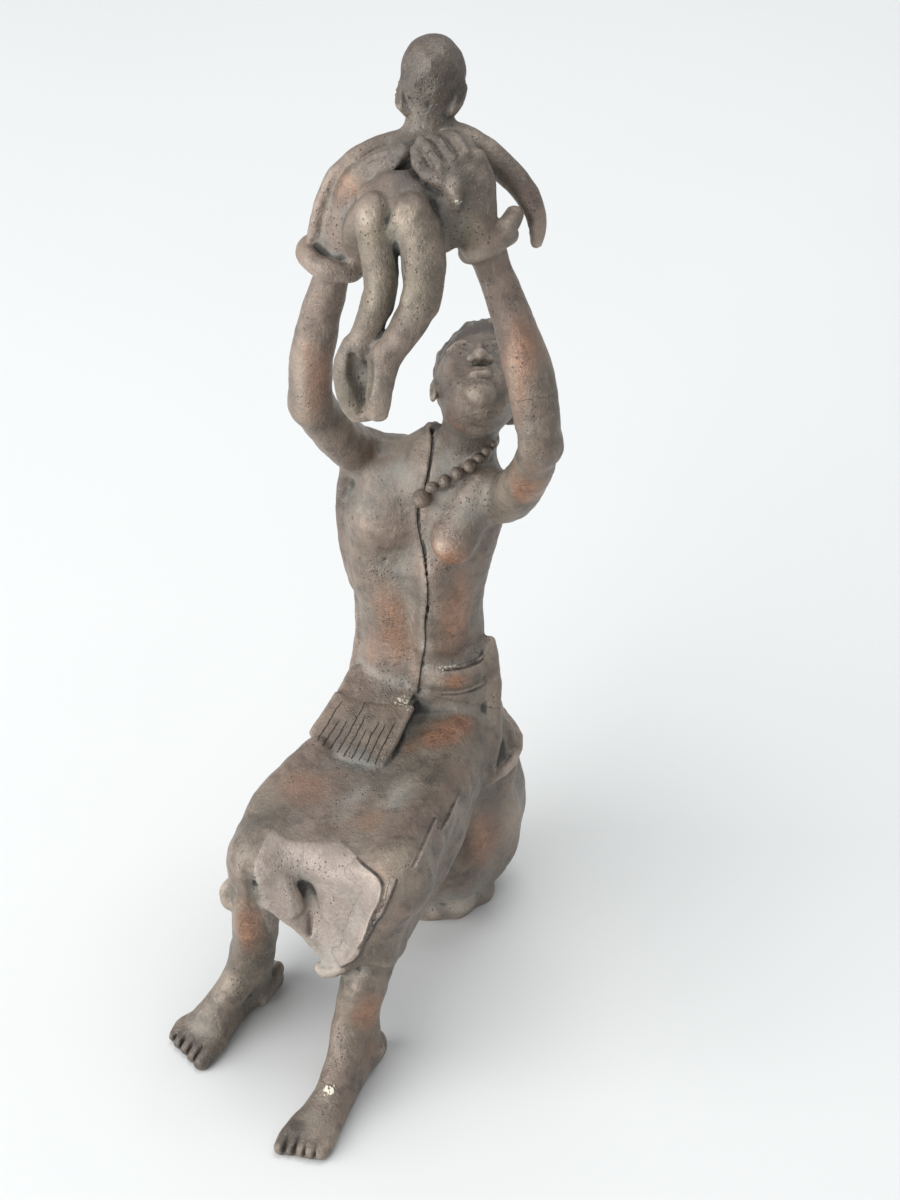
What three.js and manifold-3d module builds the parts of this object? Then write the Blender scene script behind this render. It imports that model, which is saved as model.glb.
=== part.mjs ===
// A small bronze, cast in one piece: a mother sits on a round-bellied pot and lifts her child
// over her head. She wears a wrap round her hips, a sash over her right shoulder that ends in
// a fringe on her lap, a string of beads and a bangle on each wrist.
//
// Millimetres, +Z up. She faces -Y and her right side is at -X. The origin is on the floor,
// in the middle of the pot's foot.
//
// The figure is built up as a sculptor builds wax: soft shapes are added to one distance field
// and carved out of it, its skin is taken off as triangles, thinned, and cut flat at the floor.

import * as THREE from "three";
import { triTable } from "three/addons/objects/MarchingCubes.js";
import Module from "manifold-3d";

// Driving dimensions, in millimetres
const HEIGHT = 440; // floor to the crown of the child's head
const POT_BELLY_RADIUS = 41;
const POT_BELLY_HEIGHT = 52; // of the widest ring over the floor
const POT_FOOT_RADIUS = 24;
const POT_FOOT_HEIGHT = 12;
const POT_RIM_RADIUS = 35;
const POT_RIM_HEIGHT = 88;
const POT_LOBES = 9;
const POT_LOBE_DEPTH = 1.2;
const CLOTH = 2.6; // half the thickness of the hanging panels of the wrap
const SLIT_RADIUS = 1.7; // of the open seam down the front edge of the sash
const BEAD_RADIUS = 2.6;
const PENDANT_RADIUS = 4.2;
const BANGLE_RADIUS = 9.5; // to the middle of the rolled ring
const BANGLE_THICKNESS = 3.6; // radius of the roll
const FINGER_RADIUS = 2.2;
const TOE_RADIUS = 2.9;
const STRANDS = 7; // cut in the fringe

// How finely the skin is taken, and how many triangles the thinned skin keeps
const CELL = 1.8;
const TRIANGLES = 9500;

// The pose is drawn in 440 parts to the whole height, and grows with it
const PART = HEIGHT / 440;
const at = (x, y, z) => new THREE.Vector3(x, y, z).multiplyScalar(PART);

// The distance from a point q to an ellipsoid, told in its own three axes: close to true near
// the skin, and negative inside.
function nearEllipsoid(q, axes, radii) {
  let level = 0;
  let slope = 0;
  for (let i = 0; i < 3; i++) {
    const share = q.dot(axes[i]) / radii[i];
    level += share * share;
    slope += (share / radii[i]) ** 2;
  }
  level = Math.sqrt(level);
  return slope > 1e-9 ? (level * (level - 1)) / Math.sqrt(slope) : -Math.min(...radii);
}

// Three directions at right angles: the first as given, the second as near `up` as it can be
function frame(across, up) {
  const side = new THREE.Vector3(...across).normalize();
  const rise = new THREE.Vector3(...up);
  rise.addScaledVector(side, -rise.dot(side)).normalize();
  return [side, rise, side.clone().cross(rise)];
}

// An egg with three half sizes, along `across`, near `up`, and along the third direction
function egg([x, y, z], sizes, across = [1, 0, 0], up = [0, 0, 1]) {
  const centre = at(x, y, z);
  const radii = sizes.map((size) => size * PART);
  const axes = frame(across, up);
  const q = new THREE.Vector3();
  const box = new THREE.Box3(centre.clone(), centre.clone());
  box.expandByScalar(Math.max(...radii));
  return [{ box, distance: (p) => nearEllipsoid(q.subVectors(p, centre), axes, radii) }];
}

// A rounded body along a smooth path. Each station is [x, y, z, half width, half depth] in
// parts. The width lies along `across`, and a station with no depth is round.
function limb(stations, across = [1, 0, 0], steps = 3) {
  const path = new THREE.CatmullRomCurve3(stations.map(([x, y, z]) => at(x, y, z)));
  const girths = stations.map(([, , , wide, deep = wide]) => at(wide, deep, 0));
  const girth = new THREE.CatmullRomCurve3(girths);
  const count = (stations.length - 1) * steps;
  const pieces = [];
  for (let i = 0; i < count; i++) {
    const start = path.getPoint(i / count);
    const end = path.getPoint((i + 1) / count);
    const first = girth.getPoint(i / count);
    const last = girth.getPoint((i + 1) / count);
    pieces.push(rod(start, end, first, last, across));
  }
  return pieces;
}

// One straight length of a limb: its section runs from the girth `first` to the girth `last`
function rod(start, end, first, last, across) {
  const run = end.clone().sub(start);
  const reach = run.length();
  const axis = run.clone().divideScalar(reach);
  const side = new THREE.Vector3(...across);
  side.addScaledVector(axis, -side.dot(axis)).normalize();
  const axes = [side, axis.clone().cross(side), axis];
  const box = new THREE.Box3().setFromPoints([start, end]);
  box.expandByScalar(Math.max(first.x, first.y, last.x, last.y));
  const q = new THREE.Vector3();
  const distance = (p) => {
    q.subVectors(p, start);
    const t = THREE.MathUtils.clamp(q.dot(axis) / reach, 0, 1);
    q.addScaledVector(axis, -t * reach);
    const wide = first.x + t * (last.x - first.x);
    const deep = first.y + t * (last.y - first.y);
    return nearEllipsoid(q, axes, [wide, deep, Math.min(wide, deep)]);
  };
  return { box, distance };
}

// A turned body on the Z axis, from its outline of [radius, height] in millimetres, with soft
// upright lobes round it
function turned(outline, lobes, depth) {
  const curve = new THREE.SplineCurve(outline.map(([r, z]) => new THREE.Vector2(r, z)));
  const points = curve.getPoints(4 * outline.length);
  const widest = Math.max(...points.map((point) => point.x)) + depth;
  const heights = points.map((point) => point.y);
  const box = new THREE.Box3(
    new THREE.Vector3(-widest, -widest, Math.min(...heights)),
    new THREE.Vector3(widest, widest, Math.max(...heights)),
  );
  const distance = (p) => {
    const swell = depth * Math.cos(lobes * Math.atan2(p.y, p.x));
    const radius = Math.hypot(p.x, p.y) - swell;
    let nearest = Infinity;
    let inside = false;
    points.forEach((a, i) => {
      const b = points[(i + 1) % points.length];
      const span = (b.x - a.x) ** 2 + (b.y - a.y) ** 2;
      const along = ((radius - a.x) * (b.x - a.x) + (p.z - a.y) * (b.y - a.y)) / span;
      const t = THREE.MathUtils.clamp(along, 0, 1);
      const away = Math.hypot(radius - a.x - t * (b.x - a.x), p.z - a.y - t * (b.y - a.y));
      nearest = Math.min(nearest, away);
      const crosses = a.y > p.z !== b.y > p.z;
      if (crosses && radius < a.x + ((p.z - a.y) * (b.x - a.x)) / (b.y - a.y)) inside = !inside;
    });
    return inside ? -nearest : nearest;
  };
  return [{ box, distance }];
}

// The wax: a grid of distances that shapes are blended into
const FAR = 1000;
class Clay {
  constructor(low, high, cell) {
    this.low = low;
    this.cell = cell;
    this.size = high.clone().sub(low).divideScalar(cell).ceil().addScalar(1);
    const points = this.size.x * this.size.y * this.size.z;
    this.field = new Float32Array(points).fill(FAR);
    this.mould = new Float32Array(points).fill(FAR);
  }

  index(i, j, k) {
    return i + this.size.x * (j + this.size.y * k);
  }

  // Calls `change` for each grid point that a shape can reach, with the shape's distance there
  reach(shape, blend, change) {
    const margin = blend + 3 * this.cell;
    const p = new THREE.Vector3();
    for (const { box, distance } of shape) {
      const near = box.clone().expandByScalar(margin);
      const from = near.min.sub(this.low).divideScalar(this.cell).ceil();
      const to = near.max.sub(this.low).divideScalar(this.cell).floor();
      from.clampScalar(0, Infinity);
      to.min(this.size.clone().subScalar(1));
      for (let k = from.z; k <= to.z; k++) {
        for (let j = from.y; j <= to.y; j++) {
          for (let i = from.x; i <= to.x; i++) {
            p.set(i, j, k).multiplyScalar(this.cell).add(this.low);
            change(this.index(i, j, k), distance(p));
          }
        }
      }
    }
  }

  // The rods of one shape join without a blend, then the whole shape melts into the wax
  press(shape, blend, mix) {
    const touched = [];
    this.reach(shape, blend, (index, d) => {
      if (this.mould[index] === FAR) touched.push(index);
      this.mould[index] = Math.min(this.mould[index], d);
    });
    for (const index of touched) {
      this.field[index] = mix(this.field[index], this.mould[index]);
      this.mould[index] = FAR;
    }
  }

  add(shape, blend) {
    this.press(shape, blend, (wax, d) => softMin(wax, d, blend));
  }

  carve(shape, blend) {
    this.press(shape, blend, (wax, d) => -softMin(-wax, d, blend));
  }
}

function softMin(a, b, blend) {
  const share = Math.max(blend - Math.abs(a - b), 0) / blend;
  return Math.min(a, b) - (share * share * blend) / 4;
}

// The two ends of each edge of a grid cell, in the order that the table of cases counts them:
// the lower corner's step along X, Y and Z, then the edge's own axis
const CELL_EDGES = [
  [0, 0, 0, 0], [1, 0, 0, 1], [0, 1, 0, 0], [0, 0, 0, 1],
  [0, 0, 1, 0], [1, 0, 1, 1], [0, 1, 1, 0], [0, 0, 1, 1],
  [0, 0, 0, 2], [1, 0, 0, 2], [1, 1, 0, 2], [0, 1, 0, 2],
];
const CELL_CORNERS = [
  [0, 0, 0], [1, 0, 0], [1, 1, 0], [0, 1, 0],
  [0, 0, 1], [1, 0, 1], [1, 1, 1], [0, 1, 1],
];

// Marching cubes over the whole grid: shared corners, and faces as triples of corner numbers.
// A corner keeps a little off the grid points, so that no face is a sliver.
const LEAST_SHARE = 0.05;
function skin(clay) {
  const { field, size } = clay;
  const numbers = new Map();
  const corners = [];
  const faces = [];
  const stride = [1, size.x, size.x * size.y];
  const cornerOn = (i, j, k, axis) => {
    const start = clay.index(i, j, k);
    const key = 3 * start + axis;
    if (!numbers.has(key)) {
      const a = field[start];
      const b = field[start + stride[axis]];
      const spot = new THREE.Vector3(i, j, k);
      const share = THREE.MathUtils.clamp(a / (a - b), LEAST_SHARE, 1 - LEAST_SHARE);
      spot.setComponent(axis, spot.getComponent(axis) + share);
      numbers.set(key, corners.length);
      corners.push(spot.multiplyScalar(clay.cell).add(clay.low));
    }
    return numbers.get(key);
  };
  for (let k = 0; k < size.z - 1; k++) {
    for (let j = 0; j < size.y - 1; j++) {
      for (let i = 0; i < size.x - 1; i++) {
        let pattern = 0;
        CELL_CORNERS.forEach(([a, b, c], bit) => {
          if (field[clay.index(i + a, j + b, k + c)] < 0) pattern |= 1 << bit;
        });
        if (pattern === 0 || pattern === 255) continue;
        for (let n = 16 * pattern; triTable[n] !== -1; n += 3) {
          const face = [triTable[n], triTable[n + 2], triTable[n + 1]].map((edge) => {
            const [a, b, c, axis] = CELL_EDGES[edge];
            return cornerOn(i + a, j + b, k + c, axis);
          });
          faces.push(face);
        }
      }
    }
  }
  return { corners, faces };
}

// The error of moving a corner to p, summed over the planes of the faces that met there: ten
// numbers of a symmetric 4 by 4 matrix
function planeError([a, b, c, d], weight) {
  return [a * a, a * b, a * c, a * d, b * b, b * c, b * d, c * c, c * d, d * d].map(
    (term) => term * weight,
  );
}
function errorAt(m, { x, y, z }) {
  return (
    m[0] * x * x + 2 * m[1] * x * y + 2 * m[2] * x * z + 2 * m[3] * x +
    m[4] * y * y + 2 * m[5] * y * z + 2 * m[6] * y + m[7] * z * z + 2 * m[8] * z + m[9]
  );
}
// The point where that error is least, or null where the planes don't fix one
function leastError(m) {
  const matrix = new THREE.Matrix3(m[0], m[1], m[2], m[1], m[4], m[5], m[2], m[5], m[7]);
  if (Math.abs(matrix.determinant()) < 1e-3) return null;
  return new THREE.Vector3(-m[3], -m[6], -m[8]).applyMatrix3(matrix.invert());
}

// Thins a closed skin to a number of triangles, edge by edge, the least error first
function thin({ corners, faces }, wanted) {
  const around = corners.map(() => new Set());
  const errors = corners.map(() => new Array(10).fill(0));
  const edgeA = new THREE.Vector3();
  const edgeB = new THREE.Vector3();
  const normalOf = (a, b, c) => {
    edgeA.subVectors(b, a);
    edgeB.subVectors(c, a);
    return new THREE.Vector3().crossVectors(edgeA, edgeB);
  };
  faces.forEach((face, f) => {
    const normal = normalOf(...face.map((v) => corners[v]));
    const area = normal.length();
    if (area > 0) normal.divideScalar(area);
    const plane = [...normal.toArray(), -normal.dot(corners[face[0]])];
    const error = planeError(plane, area + 1e-6);
    for (const v of face) {
      around[v].add(f);
      error.forEach((term, i) => (errors[v][i] += term));
    }
  });
  const neighbours = (v) => {
    const found = new Set();
    for (const f of around[v]) faces[f].forEach((w) => found.add(w));
    found.delete(v);
    return found;
  };
  const version = new Int32Array(corners.length);
  const queue = new Queue();
  const offer = (v, w, refusals = 0) => {
    const both = errors[v].map((term, i) => term + errors[w][i]);
    const middle = corners[v].clone().add(corners[w]).multiplyScalar(0.5);
    const best = leastError(both);
    const length = corners[v].distanceTo(corners[w]);
    const spot = best && best.distanceTo(middle) < length ? best : middle;
    const cost = (Math.max(0, errorAt(both, spot)) + 1e-4 * length) * 4 ** refusals;
    queue.push({ cost, v, w, spot, both, refusals, stamp: version[v] + version[w] });
  };
  const staysSound = (v, w, spot) => {
    for (const f of around[v]) {
      const face = faces[f];
      if (face.includes(w)) continue;
      const before = normalOf(...face.map((n) => corners[n]));
      const after = normalOf(...face.map((n) => (n === v ? spot : corners[n])));
      const turn = before.dot(after) / (before.length() * after.length() + 1e-12);
      const longest = Math.max(edgeA.lengthSq(), edgeB.lengthSq(), edgeA.distanceToSquared(edgeB));
      if (turn < 0.3 || after.length() < 0.06 * longest) return false;
    }
    return true;
  };
  corners.forEach((_, v) => neighbours(v).forEach((w) => v < w && offer(v, w)));
  let count = faces.length;
  while (count > wanted && queue.items.length > 0) {
    const { v, w, spot, both, refusals, stamp } = queue.pop();
    if (around[v].size === 0 || around[w].size === 0) continue;
    if (version[v] + version[w] !== stamp) continue;
    const nearV = neighbours(v);
    const shared = [...neighbours(w)].filter((n) => nearV.has(n));
    if (shared.length !== 2 || !staysSound(v, w, spot) || !staysSound(w, v, spot)) {
      if (refusals < 6) offer(v, w, refusals + 1);
      continue;
    }
    corners[v] = spot;
    errors[v] = both;
    for (const f of around[w]) {
      if (faces[f].includes(v)) {
        faces[f].forEach((n) => around[n].delete(f));
        faces[f] = null;
        count -= 1;
      } else {
        faces[f] = faces[f].map((n) => (n === w ? v : n));
        around[v].add(f);
      }
    }
    around[w].clear();
    version[v] += 1;
    neighbours(v).forEach((n) => offer(v, n));
  }
  return { corners, faces: faces.filter((face) => face !== null) };
}

// A heap that gives back the cheapest item first
class Queue {
  items = [];

  push(item) {
    const { items } = this;
    let at = items.push(item) - 1;
    while (at > 0) {
      const parent = (at - 1) >> 1;
      if (items[parent].cost <= items[at].cost) break;
      [items[parent], items[at]] = [items[at], items[parent]];
      at = parent;
    }
  }

  pop() {
    const { items } = this;
    const first = items[0];
    const last = items.pop();
    if (items.length > 0) items[0] = last;
    let at = 0;
    while (2 * at + 1 < items.length) {
      let child = 2 * at + 1;
      if (child + 1 < items.length && items[child + 1].cost < items[child].cost) child += 1;
      if (items[at].cost <= items[child].cost) break;
      [items[child], items[at]] = [items[at], items[child]];
      at = child;
    }
    return first;
  }
}

const clay = new Clay(at(-78, -196, -8), at(78, 62, 448), CELL);

// The pot that she sits on: a soft-lobed belly on a rough foot
function pot() {
  const outline = [
    [-4, -6],
    [POT_FOOT_RADIUS, -5],
    [POT_FOOT_RADIUS, POT_FOOT_HEIGHT - 3],
    [POT_FOOT_RADIUS + 3, POT_FOOT_HEIGHT],
    [POT_BELLY_RADIUS - 3, POT_BELLY_HEIGHT - 22],
    [POT_BELLY_RADIUS, POT_BELLY_HEIGHT],
    [POT_BELLY_RADIUS - 3, POT_BELLY_HEIGHT + 20],
    [POT_RIM_RADIUS, POT_RIM_HEIGHT],
    [-4, POT_RIM_HEIGHT + 8],
  ];
  clay.add(turned(outline, POT_LOBES, POT_LOBE_DEPTH), 1);
}

// The legs, from the knees down to the long bare feet
function legs() {
  clay.add(limb([[-30, -117, 104, 14], [-33, -116, 80, 11], [-38, -111, 45, 9.8],
    [-41, -107, 24, 8.6], [-42, -105, 8, 7.5]]), 3);
  clay.add(limb([[31, -106, 108, 14], [26, -110, 85, 11], [22, -113, 58, 9.8],
    [18, -117, 30, 8.6], [19, -118, 10, 8]]), 3);
  foot([-43, -98], [-57, -146], 1);
  foot([20, -116], [22, -175], -1);
}

// A foot from the heel to the toes' roots, on the floor. `inner` is 1 where the big toe is
// towards +X, and -1 where it is towards -X.
function foot([heelX, heelY], [toeX, toeY], inner) {
  const along = new THREE.Vector2(toeX - heelX, toeY - heelY).normalize();
  const cross = new THREE.Vector2(-along.y, along.x).multiplyScalar(inner);
  const across = [cross.x, cross.y, 0];
  const spot = (share, side, z) => [
    heelX + share * (toeX - heelX) + side * cross.x,
    heelY + share * (toeY - heelY) + side * cross.y,
    z,
  ];
  clay.add(limb([[...spot(-0.03, 0, 6), 7.5, 8], [...spot(0.3, 0, 10), 8, 10],
    [...spot(0.55, 0, 7.5), 9, 8], [...spot(0.85, 0, 4.5), 10.5, 5]], across), 3);
  for (let toe = 0; toe < 5; toe++) {
    const side = 8.6 - 4.3 * toe;
    const girth = (TOE_RADIUS * (1.15 - 0.1 * toe)) / PART;
    const reach = 1.07 - 0.035 * toe ** 1.3;
    clay.add(limb([[...spot(0.78, side * 0.9, 5), girth], [...spot(reach - 0.08, side, 4), girth],
      [...spot(reach, side, 2.6), girth * 0.95]]), 1.5);
  }
}

// The hips and thighs under the wrap, and the lap between them
function thighs() {
  clay.add(limb([[-19, 4, 99, 20, 20], [-24, -45, 101, 19, 18], [-27, -88, 101, 16, 17],
    [-28, -112, 100, 14.5, 16]]), 8);
  clay.add(limb([[9, 4, 99, 20, 20], [18, -45, 103, 18, 18], [24, -80, 107, 16, 17],
    [30, -103, 108, 15, 16]]), 8);
  clay.add(limb([[-6, 8, 99, 30, 22], [-4, -40, 102, 24, 17], [-2, -80, 105, 24, 14],
    [0, -100, 106, 24, 13]]), 10);
}

// A hanging cloth between an upper and a lower edge, as pleats that melt side by side. Each
// edge is a list of points, and `swing` pushes every other pleat out.
function drape(upper, lower, pleats, thickness, swing = 0) {
  const top = new THREE.CatmullRomCurve3(upper.map((point) => at(...point)));
  const hem = new THREE.CatmullRomCurve3(lower.map((point) => at(...point)));
  const width = (hem.getLength() / (pleats - 1)) * 1.1;
  const topWidth = (top.getLength() / (pleats - 1)) * 1.1;
  const out = [];
  for (let i = 0; i < pleats; i++) {
    const share = i / (pleats - 1);
    const a = top.getPointAt(share);
    const b = hem.getPointAt(share);
    const tangent = hem.getTangentAt(share);
    const outward = new THREE.Vector3(tangent.y, -tangent.x, 0).normalize();
    const middle = a.clone().lerp(b, 0.5).addScaledVector(outward, swing * (i % 2));
    b.addScaledVector(outward, swing * (i % 2) * 1.4);
    const start = new THREE.Vector2(topWidth, thickness);
    const end = new THREE.Vector2(width, thickness);
    const half = start.clone().lerp(end, 0.5);
    const across = tangent.toArray();
    out.push([rod(a, middle, start, half, across), rod(middle, b, half, end, across)]);
  }
  return out;
}

// The wrap's panels: in front from the knees, and down each side, to an uneven hem
function wrap() {
  const knees = [[-38, -98, 98], [-33, -112, 98], [-18, -110, 101], [2, -104, 106],
    [18, -107, 106], [28, -108, 105], [35, -94, 104]];
  const hem = [[-47, -98, 66], [-38, -121, 84], [-18, -120, 84], [-5, -112, 68],
    [8, -113, 56], [22, -116, 55], [27, -100, 57]];
  for (const pleat of drape(knees, hem, 15, CLOTH, 1.2)) clay.add(pleat, 3);
  const leftTop = [[35, -102, 104], [34, -70, 104], [33, -44, 104], [27, -20, 104]];
  const leftHem = [[27, -106, 57], [28, -78, 65], [33, -52, 83], [30, -26, 96]];
  for (const pleat of drape(leftTop, leftHem, 9, CLOTH)) clay.add(pleat, 3);
  const rightTop = [[-37, -106, 98], [-39, -92, 98], [-39, -70, 98], [-38, -40, 98], [-34, -18, 98]];
  const rightHem = [[-46, -113, 76], [-51, -97, 55], [-48, -80, 60], [-43, -50, 76], [-35, -22, 90]];
  for (const pleat of drape(rightTop, rightHem, 9, CLOTH)) clay.add(pleat, 3);
  clay.add(limb([[24, -30, 121, 2.2], [31, -66, 122, 2.2], [35, -100, 119, 2.4],
    [32, -121, 103, 2.4], [27, -123, 82, 2.4], [17, -120, 58, 2.8]]), 3);
  clay.add(limb([[1, -115, 60, 2.6], [8, -117, 56, 3], [16, -118, 57, 2.6]]), 2);
  clay.carve(limb([[-12, -126, 100, 4], [-11, -125, 86, 5], [-8, -121, 68, 4]]), 5);
  clay.carve(limb([[-28, -131, 112, 2.5], [-25, -132, 102, 3], [-22, -129, 92, 2.5]]), 3);
}

// The trunk leans a little back, and is turned a little to her left
const CHEST_ACROSS = [0.98, 0.2, 0];
function trunk() {
  clay.add(limb([[-6, 8, 100, 31, 25], [-6, 5, 128, 28, 21], [-6, 5, 150, 25.5, 19],
    [-6, 6, 175, 26.5, 19], [-3, 7, 200, 29, 20], [0, 8, 221, 28, 18.5], [2, 9, 237, 21, 15],
  ], CHEST_ACROSS), 4);
  clay.add(limb([[6, 12, 236, 15, 13], [9, 12, 252, 12.5, 12], [13, 11, 272, 12, 12]]), 6);
  clay.add(limb([[-24, 9, 236, 9], [-14, 8, 244, 8], [-5, 9, 252, 7]]), 4);
  clay.add(limb([[20, 2, 240, 9, 9], [18, -5, 230, 11, 9], [15, -9, 219, 11.5, 10.5]]), 4);
  clay.add(limb([[-26, 3, 238, 11, 10], [-22, -5, 226, 12, 10], [-20, -8, 214, 12, 10]]), 5);
  clay.add(egg([19, -19.5, 217], [2, 2, 2]), 2);
}

// The arms: up, forward and round to the child's sides
function arms() {
  clay.add(limb([[-14, 10, 227, 13, 13], [-34, 7, 234, 11.5], [-38, -16, 258, 9.6],
    [-41, -32, 283, 9]]), 5);
  clay.add(limb([[-41, -32, 283, 9], [-40, -33, 305, 8.6], [-35, -32, 332, 7.2],
    [-31, -31, 352, 6.2]]), 4);
  clay.add(limb([[10, 10, 228, 13, 13], [28, 4, 236, 12], [46, -14, 264, 10],
    [57, -27, 290, 9]]), 5);
  clay.add(limb([[57, -27, 290, 9], [54, -25, 312, 9], [43, -22, 340, 7.4],
    [34, -20, 363, 6.2]]), 4);
  bangle([-31, -31, 353], [0.2, 0.05, 1]);
  bangle([32, -20, 371], [-0.75, 0.15, 1]);
}

// A thick rolled ring round a wrist, square to `axis`
function bangle([x, y, z], axis) {
  const [side, , front] = frame([1, 0, 0], axis).map((v) => v.multiplyScalar(BANGLE_RADIUS));
  const loop = [];
  for (let i = 0; i < 12; i++) {
    const angle = (i / 12) * 2 * Math.PI;
    const point = at(x, y, z).addScaledVector(side, Math.cos(angle));
    loop.push(point.addScaledVector(front, Math.sin(angle)));
  }
  const girth = new THREE.Vector2(BANGLE_THICKNESS, BANGLE_THICKNESS);
  const roll = loop.map((a, i) => rod(a, loop[(i + 1) % 12], girth, girth, [0, 0, 1]));
  clay.add(roll, 1.5);
}

// Her head lies far back and looks up at the child
const FACE = new THREE.Vector3(0.1, -0.2, 0.97).normalize();
const CROWN = [-0.42, 0.9, 0.12];
function head() {
  const [crown, face] = frame(CROWN, FACE.toArray());
  const side = crown.clone().cross(face);
  const spot = (up, out, left = 0) =>
    new THREE.Vector3(14.5, 11, 281)
      .addScaledVector(crown, up)
      .addScaledVector(face, out)
      .addScaledVector(side, left)
      .toArray();
  const across = side.toArray();
  const up = crown.toArray();
  clay.add(egg(spot(3, -1), [18, 24, 20], across, up), 5);
  clay.add(egg(spot(-12, 7), [14, 14, 12], across, up), 4);
  clay.add(limb([[...spot(2, 19), 2, 2], [...spot(-7, 21), 3, 3.5]], across), 3);
  clay.add(egg(spot(-14, 18), [6, 2, 2.5], across, up), 2);
  clay.add(egg(spot(-22, 14), [6, 5, 6], across, up), 3);
  for (const left of [-1, 1]) {
    clay.carve(egg(spot(1, 20, 8 * left), [5, 3, 3], across, up), 2.5);
    clay.add(egg(spot(1, 17, 8 * left), [4, 2.4, 2.4], across, up), 1.5);
    clay.add(egg(spot(-1, 0, 19.5 * left), [2.6, 7, 4.5], across, up), 2);
  }
  clay.add(egg(spot(14, -13), [16, 14, 14], across, up), 5);
}

// The child lies belly down over her hands, its head up and its legs hanging
const CHILD_ACROSS = [0.906, 0.423, 0];
function child() {
  clay.add(limb([[4, -44, 384, 13, 12], [2, -30, 390, 13, 12], [1, -14, 396, 14, 12],
    [0, -5, 399, 14, 11]], CHILD_ACROSS), 4);
  clay.add(limb([[0, -5, 400, 9, 8], [-2, 2, 412, 7.5, 7.5]], CHILD_ACROSS), 4);
  clay.add(egg([-2, 2, 424], [10.5, 14.5, 13], CHILD_ACROSS, [0, 0, 1]), 3);
  for (const left of [-1, 1]) {
    const x = -2 + 11.5 * left * CHILD_ACROSS[0];
    const y = 2 + 11.5 * left * CHILD_ACROSS[1];
    clay.add(egg([x, y, 421], [1.8, 4, 3], CHILD_ACROSS), 1);
    clay.add(egg([5 + 6.5 * left * CHILD_ACROSS[0], -48 + 3 * left, 388], [7.5, 8, 8]), 2);
  }
  clay.add(limb([[-1, -49, 384, 7], [4, -57, 370, 6.6], [6, -59, 357, 6]], CHILD_ACROSS), 2);
  clay.add(limb([[6, -59, 357, 6], [2, -63, 344, 5.6], [-4, -65, 331, 4.6]]), 2);
  clay.add(limb([[12, -45, 385, 8.5], [19, -53, 372, 7.8], [22, -57, 360, 6.8]]), 2);
  clay.add(limb([[22, -57, 360, 6.8], [15, -61, 347, 6.2], [5, -65, 334, 4.8]]), 2);
  clay.add(limb([[-5, -65, 330, 4.5, 4], [-6, -69, 321, 5, 3.5], [-4, -73, 312, 4.5, 3]]), 2);
  clay.add(limb([[4, -65, 333, 4.5, 4], [6, -69, 324, 5, 3.5], [9, -73, 315, 4.5, 3]]), 2);
  clay.add(limb([[5, -5, 398, 7], [15, -3, 398, 5.6], [27, -1, 393, 4.8], [38, -1, 383, 4.4],
    [44, -4, 371, 3.8], [46, -6, 362, 2.2]]), 3);
  clay.add(limb([[-8, -8, 397, 6.5], [-19, -9, 393, 4.6], [-29, -14, 384, 3.3], [-36, -20, 372, 3],
    [-40, -27, 358, 3]]), 3);
}

// Her hands, laid on the child's back with the fingers together
function hands() {
  clay.add(limb([[-31, -31, 355, 7.5, 5], [-27, -29, 372, 9, 5], [-20, -27, 388, 9, 6]]), 3);
  clay.add(limb([[31, -20, 370, 7.5, 5], [29, -24, 386, 9, 5], [25, -29, 402, 9, 6]]), 3);
  clay.add(limb([[26, -30, 374, 7], [22, -38, 384, 7], [23, -39, 396, 5.5], [20, -40, 403, 4]]), 3);
  const girth = FINGER_RADIUS / PART;
  for (let finger = 0; finger < 4; finger++) {
    clay.add(limb([[-17 + 2 * finger, -27 - 2 * finger, 397 - 3 * finger, girth * 1.1],
      [-7 + finger, -30 - 1.5 * finger, 404 - 3 * finger, girth],
      [3 - finger, -29 - 1.2 * finger, 408 - 2.6 * finger, girth]]), 1.5);
    clay.add(limb([[17 + 3.6 * finger, -36 + 2 * finger, 405 + finger, girth * 1.1],
      [13 + 3.4 * finger, -34 + 2.4 * finger, 410 + finger, girth],
      [9 + 3 * finger, -29 + 2.6 * finger, 413 + finger, girth]]), 1.5);
  }
}

// The sash: a doubled cloth down her right side, with a rolled outer edge, an open seam at
// its front edge, and cut strands where it ends on the lap
function sash() {
  clay.add(limb([[-22, 12, 234, 17, 11], [-20, 8, 218, 23, 19], [-21, 6, 195, 24, 21],
    [-18, 5, 170, 21, 21], [-17, 5, 150, 20, 20.5], [-17, 4, 126, 23, 22]], CHEST_ACROSS), 3);
  clay.add(limb([[-40, 0, 238, 3], [-43, -3, 213, 3.8], [-42, -3, 187, 3.6],
    [-37, -3, 171, 3], [-36, -3, 150, 3], [-38, -4, 122, 4]]), 4);
  clay.add(limb([[-20, -16, 130, 19, 3.6], [-19, -30, 125, 20, 3.2], [-16, -49, 119, 23, 3]]), 2);
  const seam = [[-3, 1, 258], [-3, -5, 246], [0, -13, 239], [-1, -12, 220], [0, -12, 207],
    [0, -13, 191], [1, -13, 175], [0, -13, 158], [0, -14, 144], [1, -18, 133],
  ].map((point) => [...point, SLIT_RADIUS]);
  clay.carve(limb(seam), 1.5);
  clay.carve(limb([[5, -24, 124, 3], [6, -36, 118, 3.5], [9, -50, 118, 2]]), 3);
  for (let strand = 0; strand < STRANDS; strand++) {
    const share = (strand + 1) / (STRANDS + 1);
    clay.carve(limb([[-36 + 34 * share, -24, 131, 1], [-39 + 45 * share, -54, 122, 1.2]]), 1);
  }
}

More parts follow.
